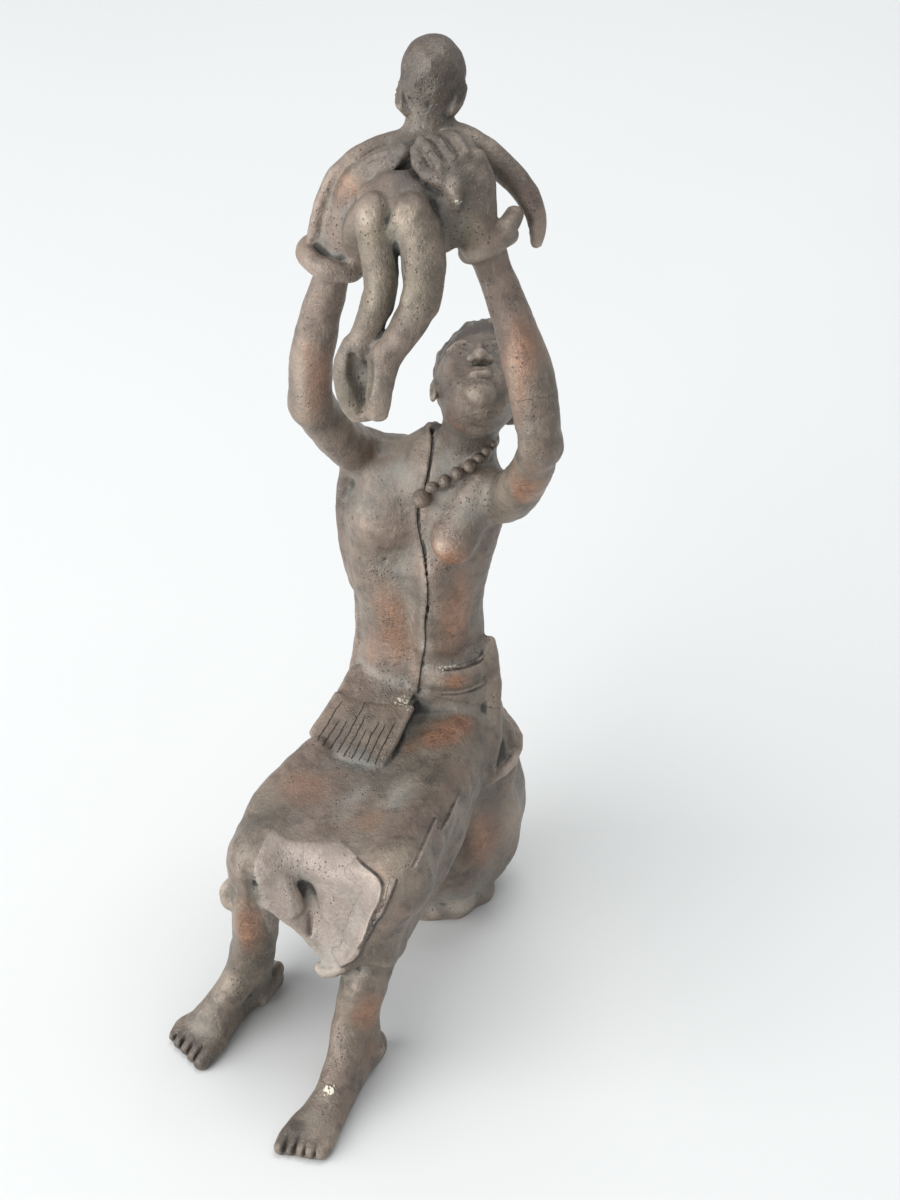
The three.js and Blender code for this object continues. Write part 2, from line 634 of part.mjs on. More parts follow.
// The waistband, and a string of beads from the seam round to the back of the neck
function trimmings() {
  const band = [];
  for (let i = 0; i < 16; i++) {
    const angle = (i / 16) * 2 * Math.PI;
    band.push(at(-4 + 27.5 * Math.cos(angle), 5 + 20.5 * Math.sin(angle), 133));
  }
  const girth = new THREE.Vector2(6, 2.5);
  clay.add(band.map((a, i) => rod(a, band[(i + 1) % 16], girth, girth, [0, 0, 1])), 1.5);
  const string = new THREE.CatmullRomCurve3([at(1, -13, 236), at(6, -11, 243), at(10, -8, 247),
    at(15, -2, 251), at(20, 5, 253), at(22, 13, 254), at(16, 23, 252)]);
  clay.add(limb([[1, -9, 236, 3], [6, -8, 243, 3], [10, -5, 246, 3], [15, 1, 250, 3],
    [19, 6, 252, 3], [20, 13, 253, 3], [15, 21, 251, 3]]), 2);
  const bead = BEAD_RADIUS / PART;
  for (let i = 1; i < 10; i++) {
    const spot = string.getPointAt(i / 10).divideScalar(PART).toArray();
    clay.add(egg(spot, [bead, bead, bead]), 0.8);
  }
  const pendant = PENDANT_RADIUS / PART;
  clay.add(egg([1, -13, 236], [pendant, pendant, pendant]), 0.8);
}

pot();
thighs();
legs();
wrap();
trunk();
arms();
sash();
trimmings();
head();
child();
hands();

// The thinned skin becomes a solid, and a flat cut at the floor gives the foot and the soles
const wasm = await Module();
wasm.setup();

function solidOf(corners, faces) {
  const numbers = new Map();
  const positions = [];
  for (const v of faces.flat()) {
    if (numbers.has(v)) continue;
    numbers.set(v, numbers.size);
    positions.push(...corners[v].toArray());
  }
  const triVerts = Uint32Array.from(faces.flat(), (v) => numbers.get(v));
  const vertProperties = Float32Array.from(positions);
  return new wasm.Manifold(new wasm.Mesh({ numProp: 3, vertProperties, triVerts }));
}

function solidOfGeometry(geometry) {
  const positions = geometry.getAttribute("position");
  const corners = [];
  for (let v = 0; v < positions.count; v++) {
    corners.push(new THREE.Vector3().fromBufferAttribute(positions, v));
  }
  const keys = corners.map((corner) => corner.toArray().join(" "));
  const first = Array.from(geometry.index.array, (v) => keys.indexOf(keys[v]));
  const faces = [];
  for (let i = 0; i < first.length; i += 3) faces.push(first.slice(i, i + 3));
  return solidOf(corners, faces);
}

const thinned = thin(skin(clay), TRIANGLES);
const ground = new THREE.BoxGeometry(HEIGHT, HEIGHT, HEIGHT);
ground.translate(0, 0, -HEIGHT / 2);
const cast = solidOf(thinned.corners, thinned.faces).subtract(solidOfGeometry(ground));

const result = cast.getMesh();
const geometry = new THREE.BufferGeometry();
geometry.setAttribute("position", new THREE.BufferAttribute(result.vertProperties, 3));
geometry.setIndex(new THREE.BufferAttribute(result.triVerts, 1));
geometry.computeVertexNormals();

const bronze = new THREE.MeshStandardMaterial({ color: 0x76665e, roughness: 0.55, metalness: 0.7 });
const figure = new THREE.Mesh(geometry, bronze);
figure.name = "mother_and_child";

const group = new THREE.Group();
group.add(figure);
export default group;
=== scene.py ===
# A small cast bronze: a mother sits on a round-bellied pot and lifts her child over her head.
# The frame is in metres, +Z up, and she faces -Y. The wax is worked in millimetres.

import math

import bpy
import numpy as np
import openvdb
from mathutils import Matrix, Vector


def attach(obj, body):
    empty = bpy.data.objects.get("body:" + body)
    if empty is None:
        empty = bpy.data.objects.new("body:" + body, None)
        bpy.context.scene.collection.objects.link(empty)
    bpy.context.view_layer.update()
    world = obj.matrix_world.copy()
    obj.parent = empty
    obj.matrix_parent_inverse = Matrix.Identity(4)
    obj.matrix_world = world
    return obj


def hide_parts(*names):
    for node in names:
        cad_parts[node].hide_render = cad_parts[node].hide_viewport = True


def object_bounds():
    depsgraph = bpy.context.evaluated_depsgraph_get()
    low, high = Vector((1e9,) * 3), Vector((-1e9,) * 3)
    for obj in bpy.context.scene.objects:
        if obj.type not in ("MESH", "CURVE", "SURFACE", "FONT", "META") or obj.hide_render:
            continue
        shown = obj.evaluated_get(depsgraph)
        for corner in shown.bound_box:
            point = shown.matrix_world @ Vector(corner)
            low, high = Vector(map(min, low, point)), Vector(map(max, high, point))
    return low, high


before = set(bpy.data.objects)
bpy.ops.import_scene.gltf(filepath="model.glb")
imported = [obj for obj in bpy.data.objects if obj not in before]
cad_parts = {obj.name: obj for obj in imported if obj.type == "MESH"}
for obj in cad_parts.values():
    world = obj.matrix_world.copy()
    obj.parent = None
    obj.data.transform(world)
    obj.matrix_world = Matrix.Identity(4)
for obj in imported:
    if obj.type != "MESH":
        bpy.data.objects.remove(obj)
cad_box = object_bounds()


# The camera: above the figure and to her right, looking down on her, as the picture was taken.
CAMERA_PLACE = Vector((0.37213, -0.784324, 0.849832))
CAMERA_FALL = math.radians(38)  # below the level
CAMERA_TURN = math.radians(25)  # from straight ahead
LENS = 75  # millimetres, on a 36 mm frame's long side

camera_data = bpy.data.cameras.new("camera")
camera_data.lens = LENS
camera_data.clip_end = 10
camera = bpy.data.objects.new("camera", camera_data)
camera.location = CAMERA_PLACE
looking = Vector((
    -math.sin(CAMERA_TURN) * math.cos(CAMERA_FALL),
    math.cos(CAMERA_TURN) * math.cos(CAMERA_FALL),
    -math.sin(CAMERA_FALL),
))
camera.rotation_euler = looking.to_track_quat("-Z", "Y").to_euler()
bpy.context.scene.collection.objects.link(camera)
bpy.context.scene.camera = camera


# The casting: mother, child and pot are one bronze, cast from a hand-modelled wax. The wax is a
# grid of distances to the skin: soft shapes are added to it and carved out of it.
MM = 0.001  # metres
CELL = 0.8  # millimetres between grid points
FAR = 1000.0  # millimetres, beyond any part of the figure


def soft_least(a, b, blend):
    """The lesser of two distances, the crease between them filled to a soft bend"""
    share = np.maximum(blend - np.abs(a - b), 0) / blend
    return np.minimum(a, b) - share * share * (blend / 4)


class Wax:
    """A block of distances to the skin, less than 0 inside, between two corners"""

    def __init__(self, low, high, cell):
        self.low = np.array(low, float)
        self.cell = cell
        self.size = np.ceil((np.array(high) - self.low) / cell).astype(int) + 1
        self.field = np.full(self.size, FAR, np.float32)

    def window(self, low, high):
        """The part of the grid between two corners, and its own X, Y and Z"""
        first = np.clip(np.ceil((low - self.low) / self.cell).astype(int), 0, self.size)
        last = np.clip(np.floor((high - self.low) / self.cell).astype(int) + 1, first, self.size)
        steps = [
            (self.low[i] + self.cell * np.arange(first[i], last[i])).astype(np.float32)
            for i in range(3)
        ]
        return first, last, np.meshgrid(*steps, indexing="ij", sparse=True)

    def press(self, shape, blend, mix):
        """The lengths of one shape join without a blend, then the whole shape melts in"""
        margin = blend + 3 * self.cell
        low = np.min([piece[0] for piece in shape], axis=0) - margin
        high = np.max([piece[1] for piece in shape], axis=0) + margin
        start, stop, _ = self.window(low, high)
        mould = np.full(stop - start, FAR, np.float32)
        for piece_low, piece_high, distance in shape:
            first, last, (x, y, z) = self.window(piece_low - margin, piece_high + margin)
            place = tuple(slice(a, b) for a, b in zip(first - start, last - start))
            mould[place] = np.minimum(mould[place], distance(x, y, z))
        place = tuple(slice(a, b) for a, b in zip(start, stop))
        wax = self.field[place]
        self.field[place] = np.where(mould < FAR, mix(wax, mould), wax)

    def add(self, shape, blend):
        self.press(shape, blend, lambda wax, mould: soft_least(wax, mould, blend))

    def carve(self, shape, blend):
        self.press(shape, blend, lambda wax, mould: -soft_least(-wax, mould, blend))

    def work_skin(self, reach, change):
        """Raises or lowers the skin: `change` gives the height at each point near it"""
        near = np.nonzero(np.abs(self.field) < reach)
        points = self.low + self.cell * np.stack(near, axis=1)
        self.field[near] -= change(points).astype(np.float32)


wax = Wax((-74, -190, -6), (76, 52, 446), CELL)


# The pot that she sits on: a soft-lobed belly on a rough, thick foot, with a thin lip that shows
# behind her left hip. Part of the one casting.
POT_OUTLINE = [
    [-4, -6], [27, -5], [27.4, 2], [27, 9], [29.5, 14], [38, 30], [41, 52], [38, 72], [35, 88], [-4, 96],
]
RING_RODS = 24  # straight lengths in a closed roll


def unit(vector):
    """A direction, at a length of 1"""
    return np.array(vector, float) / np.linalg.norm(vector)


def near_ellipsoid(a, b, c, sizes):
    """The distance to an ellipsoid, told in its own axes, close to true near its skin"""
    a, b, c = a / sizes[0], b / sizes[1], c / sizes[2]
    level = np.sqrt(a * a + b * b + c * c)
    slope = np.sqrt((a / sizes[0]) ** 2 + (b / sizes[1]) ** 2 + (c / sizes[2]) ** 2)
    return level * (level - 1) / np.maximum(slope, 1e-5)


def egg(centre, sizes, across=(1, 0, 0), up=(0, 0, 1)):
    """An egg with three half sizes: along `across`, near `up`, and along the third direction"""
    centre = np.array(centre, float)
    side = unit(across)
    rise = unit(np.array(up) - np.dot(up, side) * side)
    axes = side, rise, np.cross(side, rise)

    def distance(x, y, z):
        x, y, z = x - centre[0], y - centre[1], z - centre[2]
        a, b, c = (x * axis[0] + y * axis[1] + z * axis[2] for axis in axes)
        return near_ellipsoid(a, b, c, sizes)

    reach = max(sizes)
    return [(centre - reach, centre + reach, distance)]


def rod(start, end, first, last, across):
    """One straight length of a limb, whose section runs from the girth `first` to `last`"""
    reach = np.linalg.norm(end - start)
    axis = (end - start) / reach
    side = unit(np.array(across) - np.dot(across, axis) * axis)
    other = np.cross(axis, side)

    def distance(x, y, z):
        x, y, z = x - start[0], y - start[1], z - start[2]
        along = x * axis[0] + y * axis[1] + z * axis[2]
        share = np.clip(along / reach, 0, 1)
        wide = first[0] + share * (last[0] - first[0])
        deep = first[1] + share * (last[1] - first[1])
        a = x * side[0] + y * side[1] + z * side[2]
        b = x * other[0] + y * other[1] + z * other[2]
        return near_ellipsoid(a, b, along - share * reach, (wide, deep, np.minimum(wide, deep)))

    most = max(*first, *last)
    return np.minimum(start, end) - most, np.maximum(start, end) + most, distance


def smooth_path(points, count):
    """`count` + 1 places along a smooth line through the points, whatever they measure"""
    points = np.array(points, float)
    before = 2 * points[0] - points[1]
    after = 2 * points[-1] - points[-2]
    chain = np.vstack([before, points, after])
    places = []
    for t in np.linspace(0, len(points) - 1, count + 1):
        i = min(int(t), len(points) - 2)
        a, b, c, d = chain[i:i + 4]
        knots = [max(np.linalg.norm(q - p), 1e-8) ** 0.5 for p, q in ((a, b), (b, c), (c, d))]
        mid = knots[1] if knots[1] > 1e-3 else 1.0
        first = knots[0] if knots[0] > 1e-3 else mid
        last = knots[2] if knots[2] > 1e-3 else mid
        go = ((b - a) / first - (c - a) / (first + mid) + (c - b) / mid) * mid
        come = ((c - b) / mid - (d - b) / (mid + last) + (d - c) / last) * mid
        s = t - i
        places.append(
            b + go * s + (3 * (c - b) - 2 * go - come) * s * s
            + (2 * (b - c) + go + come) * s ** 3
        )
    return np.array(places)


def ring(centre, sizes, girth, axis=(0, 0, 1)):
    """A closed roll round `centre`, square to `axis`"""
    axis = unit(axis)
    side = unit(np.array([1.0, 0, 0]) - axis[0] * axis)
    front = np.cross(axis, side)
    loop = [
        np.array(centre) + sizes[0] * math.cos(t) * side + sizes[1] * math.sin(t) * front
        for t in np.linspace(0, 2 * math.pi, RING_RODS + 1)
    ]
    return [rod(start, end, girth, girth, axis) for start, end in zip(loop, loop[1:])]


def turned(outline, lobes, depth):
    """A turned body on the Z axis with soft upright lobes, from its [radius, height] outline"""
    edge = smooth_path(outline, 6 * len(outline))
    widest = edge[:, 0].max() + depth
    lowest, highest = edge[:, 1].min(), edge[:, 1].max()

    def distance(x, y, z):
        swell = depth * np.cos(lobes * np.arctan2(y, x) + 0.6)
        out = np.hypot(x, y) - swell
        nearest = np.full(np.broadcast(out, z).shape, FAR, np.float32)
        inside = np.zeros(nearest.shape, bool)
        for (r0, z0), (r1, z1) in zip(edge, np.roll(edge, -1, axis=0)):
            dr, dz = r1 - r0, z1 - z0
            span = max(dr * dr + dz * dz, 1e-9)
            share = np.clip(((out - r0) * dr + (z - z0) * dz) / span, 0, 1)
            away = np.hypot(out - r0 - share * dr, z - z0 - share * dz)
            nearest = np.minimum(nearest, away)
            if z0 != z1:
                crosses = (z0 > z) != (z1 > z)
                inside ^= crosses & (out < r0 + (z - z0) * dr / dz)
        return np.where(inside, -nearest, nearest)

    low = np.array([-widest, -widest, lowest])
    return [(low, np.array([widest, widest, highest]), distance)]


wax.add(turned(POT_OUTLINE, lobes=9, depth=1.1), 1)
wax.carve(ring([0, 0, 12], [29.5, 29.5], [0.9, 0.9]), 1.6)
wax.add(ring([1, 1, 90], [36.5, 34], [1.5, 2.2]), 2)
wax.carve(ring([1, 1, 86], [38.6, 36], [0.8, 0.9]), 1.4)
for lump in range(11):
    turn = 0.57 * lump
    wax.add(egg([25.4 * math.cos(turn), 25.4 * math.sin(turn), 5 + lump % 3], [3.4, 3.4, 4]), 5)


# The legs and long bare feet, flat on the floor, with the toes side by side. Part of the
# one casting.
def limb(stations, across=(1, 0, 0), steps=5):
    """A rounded body along a smooth path of [x, y, z, half width, half depth]"""
    rows = [list(row) if len(row) == 5 else [*row, row[3]] for row in stations]
    count = (len(rows) - 1) * steps
    path = smooth_path([row[:3] for row in rows], count)
    girth = smooth_path([row[3:] for row in rows], count)
    return [rod(path[i], path[i + 1], girth[i], girth[i + 1], across) for i in range(count)]


def foot(heel, toes, inner, widths):
    """A foot from the heel to the toes' roots; `inner` is 1 where the big toe is towards +X. The
    half widths are those of the heel, the arch and the ball"""
    heel, toes = np.array([*heel, 0.0]), np.array([*toes, 0.0])
    along = unit(toes - heel)
    cross = np.array([-along[1], along[0], 0]) * inner

    def spot(share, side, z):
        return [*(heel + share * (toes - heel) + side * cross)[:2], z]

    heel_width, arch_width, ball_width = widths
    wax.add(limb([
        [*spot(-0.06, 0, 6), 7, 8], [*spot(0.25, 0, 9), heel_width, 9.6],
        [*spot(0.55, 0, 6.6), arch_width, 7.6], [*spot(0.9, 0, 3.8), ball_width, 4.8],
        [*spot(0.985, 0, 3.4), ball_width * 0.9, 4],
    ], cross), 3)
    wax.add(egg(spot(0.06, 7, 13), [3, 3, 3.5]), 3)
    wax.add(egg(spot(0.03, -6.5, 11), [3, 3, 3.2]), 3)
    step = ball_width * 0.385  # from toe to toe
    for toe in range(5):
        side = (2 - toe) * step
        girth = step * (0.8 - 0.045 * toe)
        reach = 1.05 - 0.018 * toe
        wax.add(limb([
            [*spot(0.8, 0.9 * side, 4.8), girth * 0.9], [*spot(reach - 0.08, side, 4.4), girth],
            [*spot(reach, side, 3), girth * 0.94],
        ]), 1.5)
    for toe in range(4):
        side = (1.5 - toe) * step
        wax.carve(limb([
            [*spot(0.95, 0.97 * side, 8), 0.3, 0.8], [*spot(1.01, side, 6.6), 0.4, 1.2],
            [*spot(1.08 - 0.018 * toe, side, 3), 0.5, 2],
        ], cross), 0.9)


wax.add(limb([
    [-28.5, -116, 104, 14], [-32, -116, 80, 11], [-36, -113, 50, 9.8], [-40, -110, 26, 8.4],
    [-42, -106, 8, 7.2],
]), 3)
wax.add(limb([[-33, -127, 84, 3], [-37, -121.6, 50, 3], [-41, -119, 28, 3], [-46, -124, 18, 2.6]]), 6)
wax.add(limb([
    [-38, -115, 42, 8], [-42.5, -119, 27, 7.6], [-47, -126, 17, 7.6], [-52, -136, 6.6, 9, 5],
]), 5)
wax.add(limb([[-36.4, -95, 13, 3, 4], [-35, -103, 11, 3, 5], [-36, -111, 8, 2.4, 4]]), 2.4)
wax.add(limb([
    [30, -106, 108, 14], [25.5, -110, 85, 11.4], [20.6, -113, 58, 10.4], [17, -116.5, 32, 9],
    [19, -118, 10, 8],
]), 3)
wax.add(limb([[20, -124, 54, 3], [16, -126.5, 32, 3]]), 6)
wax.add(limb([
    [18.6, -118, 46, 9], [16.6, -124, 28, 8.6], [17.6, -134, 16, 8.2], [19.6, -147, 8.6, 8],
]), 4)
foot([-42, -98], [-54.5, -146], 1, (8, 10, 13.4))
foot([20, -116], [18.5, -176], -1, (7.8, 9.2, 11.4))


# Her hips, thighs and lap: thick limbs of wax that lie wholly under the wrap and carry its
# cloth. Part of the one casting.
wax.add(limb([
    [-19, 4, 99, 20], [-24, -45, 101, 19, 18], [-27, -88, 101, 16.5, 17], [-28, -112, 100, 14.5, 16],
]), 8)
wax.add(limb([
    [9, 4, 99, 20], [18, -45, 102.5, 18], [24, -80, 105.5, 16, 17], [30, -103, 106.5, 15, 16],
]), 8)
wax.add(limb([
    [-6, 8, 99, 30, 22], [-4, -40, 102, 24, 17], [-2, -80, 105, 24, 14], [0, -100, 106, 24, 13],
]), 10)


# The wrap: a thick cloth over the lap, hanging in front from knee to knee and down both sides
# to an uneven hem. Its front edge laps over the left side in a rolled ridge.
CLOTH = 2.5  # half its thickness
STRIPS = 44


def drape(upper, lower, strips=STRIPS, thickness=CLOTH):
    """A hanging cloth between two edges, as upright strips that melt side by side"""
    top, hem = smooth_path(upper, strips - 1), smooth_path(lower, strips - 1)
    middle = (top + hem) / 2
    spread = np.linalg.norm(np.diff(hem, axis=0), axis=1).mean() * 1.25
    narrow = np.linalg.norm(np.diff(top, axis=0), axis=1).mean() * 1.25
    tangents = np.gradient(hem, axis=0)
    pieces = []
    for a, b, c, across in zip(top, middle, hem, tangents):
        girths = [(narrow, thickness), ((narrow + spread) / 2, thickness), (spread, thickness)]
        pieces.append(rod(a, b, girths[0], girths[1], across))
        pieces.append(rod(b, c, girths[1], girths[2], across))
    return pieces


wax.add(drape(
    [[-38, -98, 98], [-33, -112, 98], [-24, -116, 100], [-14, -110, 103], [2, -105, 106],
     [18, -107, 106], [28, -108, 105], [35, -94, 104]],
    [[-47, -98, 70], [-42, -114, 82], [-31, -124, 91], [-22, -124.5, 88], [-14, -123.5, 82],
     [-7, -121.5, 76], [-1, -120.5, 68], [5, -119, 61], [17, -119, 56], [27, -100, 57]],
), 3)
wax.add(drape(
    [[35, -102, 104], [34, -70, 104], [33, -44, 104], [27, -20, 104]],
    [[27, -106, 57], [29, -78, 65], [34, -52, 83], [31, -26, 96]],
), 3)
wax.add(drape(
    [[-37, -106, 98], [-39, -92, 98], [-39, -70, 98], [-38, -40, 98], [-34, -18, 98]],
    [[-45, -117, 78], [-50.5, -99, 58], [-48, -80, 60], [-43, -50, 76], [-35, -22, 90]],
), 3)
wax.add(limb([
    [-41, -119, 88, 3, 2.4], [-44, -121.6, 82, 3.4, 2.4], [-42, -123.4, 77.4, 3, 2.2],
    [-37, -122, 76, 2.4, 2],
]), 2)
# its lap and the ledge where it turns down over the knees
wax.add(limb([
    [-29, -116, 107, 6, 7], [-18, -114, 106.4, 7, 6], [-4, -111, 107.6, 8, 6], [12, -110, 108, 8, 6],
    [26, -113, 107, 7, 6],
], (0, 0, 1)), 8)
wax.add(limb([[-31, -58, 116, 8], [-36, -76, 111, 9], [-38, -92, 108, 9], [-37.4, -104, 106, 8]]), 5)
# the pushed-out lobe between the knees, the light flat of the front cloth and the hollows beside it
wax.add(limb([
    [-22.6, -121, 106, 5, 4], [-18, -122, 100, 8, 4.4], [-13.6, -122.6, 93, 8.6, 4],
    [-9, -122.4, 87, 6, 3],
]), 3)
wax.add(limb([
    [9, -112.4, 105, 14, 6], [12, -116.4, 92, 13, 4.6], [12, -118.6, 78, 10.5, 3.6],
    [10, -120.4, 65, 7.4, 3], [6.4, -121, 60, 5, 2.4],
]), 3)
wax.carve(limb([
    [-9, -122, 111, 2.4], [-6, -123.6, 102, 3.4], [-3.4, -125, 92, 3.6], [-3.6, -125.6, 80, 2.6],
]), 4)
wax.carve(limb([
    [-6.4, -121, 97, 0.6, 2.4], [-4.6, -121.6, 89, 1, 3], [-4, -122, 80, 0.9, 3.4],
    [-3, -122.6, 74, 0.6, 3],
]), 0.9)
wax.carve(limb([
    [-29, -130.6, 116, 1.6], [-27.6, -131, 106, 2.4], [-26, -130, 98, 3], [-25, -129, 90, 2.6],
]), 4)
wax.carve(egg([-26, -128, 99.6], [1.4, 2.6, 2.6]), 1.4)
# the thick rolled end of the hem, like a lip, and the fullness under the lapped edge
wax.add(limb([
    [38, -82, 110, 3], [37.4, -98, 109, 3.4], [35.4, -110, 104, 3.6], [31, -118, 94, 3.4],
    [24, -121, 80, 3.2], [15, -121.4, 67, 3],
]), 5)
wax.add(limb([
    [14, -123.4, 63, 2], [9, -124, 59, 2.6], [4, -124, 57, 2.8], [1.6, -123.4, 57.6, 2.2],
]), 1.6)
# shallow pulls in the cloth, from the lap to the knees and behind
for start, middle, end, girth in (
    ([-9, -58, 124.6], [-5, -78, 124.6], [-3, -96, 123], 4.5),
    ([10, -62, 126], [14, -78, 126.6], [16, -94, 125], 3.6),
    ([-41, -30, 116], [-47, -62, 112], [-46, -88, 104], 3),
    ([-50, -70, 88], [-52, -84, 78], [-54, -94, 66], 2.4),
    ([39, -40, 96], [38.5, -62, 88], [36, -82, 76], 2.4),
):
    wax.carve(limb([[*start, girth * 0.7], [*middle, girth], [*end, girth * 0.7]]), girth + 1)


# Her trunk leans a little back and turns a little to her left. The left side is bare, with a
# soft pointed breast; the small of the back has a shallow furrow.
CHEST_ACROSS = (0.98, 0.2, 0)
wax.add(limb([
    [-6, 8, 100, 31, 25], [-6, 5, 126, 29, 21.6], [-6, 5, 138, 27, 20.4], [-6, 5, 150, 24.6, 18.6],
    [-6.6, 6, 172, 24.6, 18.4], [-4.6, 7, 196, 26.4, 19.4], [-0.6, 8, 221, 27.6, 18.5],
    [2, 9, 237, 21, 15],
], CHEST_ACROSS), 4)
wax.add(limb([[6, 12, 236, 15, 13], [9, 12, 252, 12.5, 12], [13, 11, 272, 12, 12]]), 6)
wax.add(limb([[-24, 9, 234, 9], [-14, 8, 241, 8], [-5, 9, 250, 7]]), 4)
wax.add(limb([[20, 2, 240, 9], [17, -4, 229, 10, 9], [14, -9.4, 217.4, 10.4, 10]]), 5)
wax.add(egg([13.8, -13, 216], [9.2, 8.8, 8.8]), 3)
wax.add(limb([[4, -8, 196, 8], [5, -8.4, 178, 9], [5, -7.4, 160, 8.4]]), 10)
wax.carve(limb([[24.6, -12, 203, 1.6], [27.4, -10, 216, 2.4], [29.6, -9, 229, 2]]), 5)
wax.carve(limb([[-4, 30, 130, 3], [-4, 29, 165, 3.4], [-2, 30, 205, 3.2], [1, 29, 232, 2.5]]), 8)
for side in (-1, 1):
    wax.add(limb([
        [2 + 9 * side, 24, 226, 5], [0 + 14 * side, 25, 208, 6], [-2 + 13 * side, 22, 190, 4],
    ]), 8)


# Her arms: up from the shoulders, forward, and round to the child's sides. They are long, smooth
# and slender, and one casting with her trunk and with the child.
wax.add(limb([[-14, 10, 227, 13], [-34, 7, 234, 11.5], [-38, -16, 258, 9.6], [-41.6, -32, 283, 8.8]]), 5)
wax.add(limb([
    [-41.6, -32, 283, 8.8], [-40, -33, 305, 9], [-34, -32, 332, 7.8], [-28.6, -31, 352, 6.8],
]), 4)
wax.add(egg([-42, -29, 281], [7, 8, 8]), 4)
wax.add(limb([
    [10, 10, 228, 13], [30, 3, 234.6, 11], [48.6, -14.6, 262.6, 8.8], [58.4, -26.4, 287, 8],
]), 5)
wax.add(limb([
    [58.4, -26.4, 287, 8], [56, -26, 303, 9.4], [51.6, -24.6, 320, 9.6], [42, -22, 343, 7.8],
    [33, -20.6, 363, 6.8],
]), 4)
wax.add(egg([59.4, -24.6, 287], [6, 7.4, 7]), 4)
wax.carve(limb([
    [38, -18, 247, 0.4, 1.6], [33, -15.6, 238, 0.8, 2.2], [29.6, -12.6, 228, 0.9, 2.4],
    [28.6, -11, 218, 0.5, 1.6],
]), 1.4)


# The sash: a doubled cloth over her right shoulder, open down its front edge, with a rolled
# edge at her side. It ends on her lap in a flap with a cut fringe. Part of the one casting.
wax.add(limb([
    [-22, 12, 232, 17, 11], [-20, 8, 218, 23, 19], [-21, 6, 195, 24, 21], [-18, 5, 170, 21, 21],
    [-17, 5, 150, 20, 20.5], [-17, 4, 126, 23, 22],
], CHEST_ACROSS), 3)
wax.add(limb([[-26, 3, 235, 11, 10], [-22, -5, 226, 12, 10], [-20, -7, 215, 12, 9]]), 6)
wax.add(limb([[-27, -3, 212, 11], [-27, -2, 196, 11], [-25, -1, 178, 12]]), 8)
wax.add(egg([-22, -8, 212], [10, 7.4, 8]), 10)
wax.carve(limb([[-27, -22, 198, 1.6], [-16, -21, 195, 2.6], [-6, -18.6, 200, 2.6]]), 7)
wax.carve(egg([-22, -1, 249], [6, 5, 3.5]), 5)
wax.carve(limb([[-30, 6, 252, 3], [-20, 4, 256, 3.6], [-11, 7, 262, 3]]), 5)
wax.add(limb([
    [-39, 0, 240, 3], [-43, -2.5, 222, 3.6], [-43, -3, 204, 3.8], [-41, -3, 187, 3.6], [-38, -3, 172, 3],
    [-35.5, -3, 168, 2],
]), 4)
wax.carve(limb([
    [-36, -12, 232, 0.4, 1], [-39, -11.4, 214, 0.7, 1.4], [-38, -12, 196, 0.7, 1.4],
    [-35, -12.6, 180, 0.4, 1],
]), 2.4)
wax.add(limb([[-37, -2, 165, 2.6], [-36, -3, 150, 2.8], [-37, -4, 134, 3.2], [-38, -4, 122, 4]]), 3)
wax.add(limb([
    [-22, 22, 230, 9, 4], [-24, 27, 218, 12, 4], [-25, 27, 196, 13, 4], [-22, 26, 170, 12, 4],
    [-20, 26, 140, 13, 4],
]), 3)
SEAM = [
    [-5.6, 7, 257], [-3, 3, 253.6], [-2, -1, 249], [-1.2, -5, 243], [-1.8, -7.4, 236.6],
    [-3.8, -10, 227], [-3.2, -11.4, 220], [-1.8, -12, 213], [0, -12.6, 206.6], [2.6, -15.6, 199],
    [3.8, -16.8, 191], [3.6, -17, 181], [2.4, -16.8, 172], [2, -15.8, 159], [0.2, -14.6, 150],
    [-0.8, -15, 142], [-1, -16, 136], [-1.6, -17, 130],
]
SEAM_GIRTHS = [0.3, 0.4, 0.5, 0.5, 0.6, 0.7, 0.7, 0.6, 0.5, 0.35, 0.3, 0.3, 0.35, 0.3, 0.35, 0.5, 0.8, 1]
wax.carve(limb([
    [x, y, z, girth, 1.2 + girth] for (x, y, z), girth in zip(SEAM, SEAM_GIRTHS)
], steps=3), 0.9)

# the fringe: a flat flap, whose cuts the finish draws
FRINGE_TOP = [[-35, -30, 127], [-27, -32.4, 126.6], [-15, -31, 127.6], [-1.4, -25, 127.4]]
FRINGE_END = [[-38, -48.6, 118.4], [-31, -54.6, 119], [-16, -57.6, 119], [-0.6, -55.6, 118.8]]
wax.add(limb([[-20, -14, 131, 17, 3.4], [-20, -24, 128, 17, 3], [-19.4, -33, 125.5, 16.4, 2.6]]), 2.4)
wax.add(drape(FRINGE_TOP, FRINGE_END, strips=26, thickness=2.1), 0.8)
wax.add(limb([
    [-19, -14, 126, 16, 6], [-19.4, -30, 122.6, 16.4, 5], [-19.6, -47, 117.4, 16.6, 3.4],
]), 1.6)
wax.carve(limb([
    [2.4, -17, 131.4, 1.6], [4.4, -23, 127, 2.8], [5, -30, 123.4, 2.2], [4.4, -37, 122.4, 0.6],
]), 2.2)


# The waistband, a flat strip let into her bare side, with scratched edges, and the bangles: thick
# rolled rings, the left one with its ends lapped. All are cast on.
def round_waist(height, wide, deep, turns):
    """Places on an oval round her waist, by their turn from the front to her left"""
    return [[-4 + wide * math.sin(t), 5 - deep * math.cos(t), height] for t in turns]


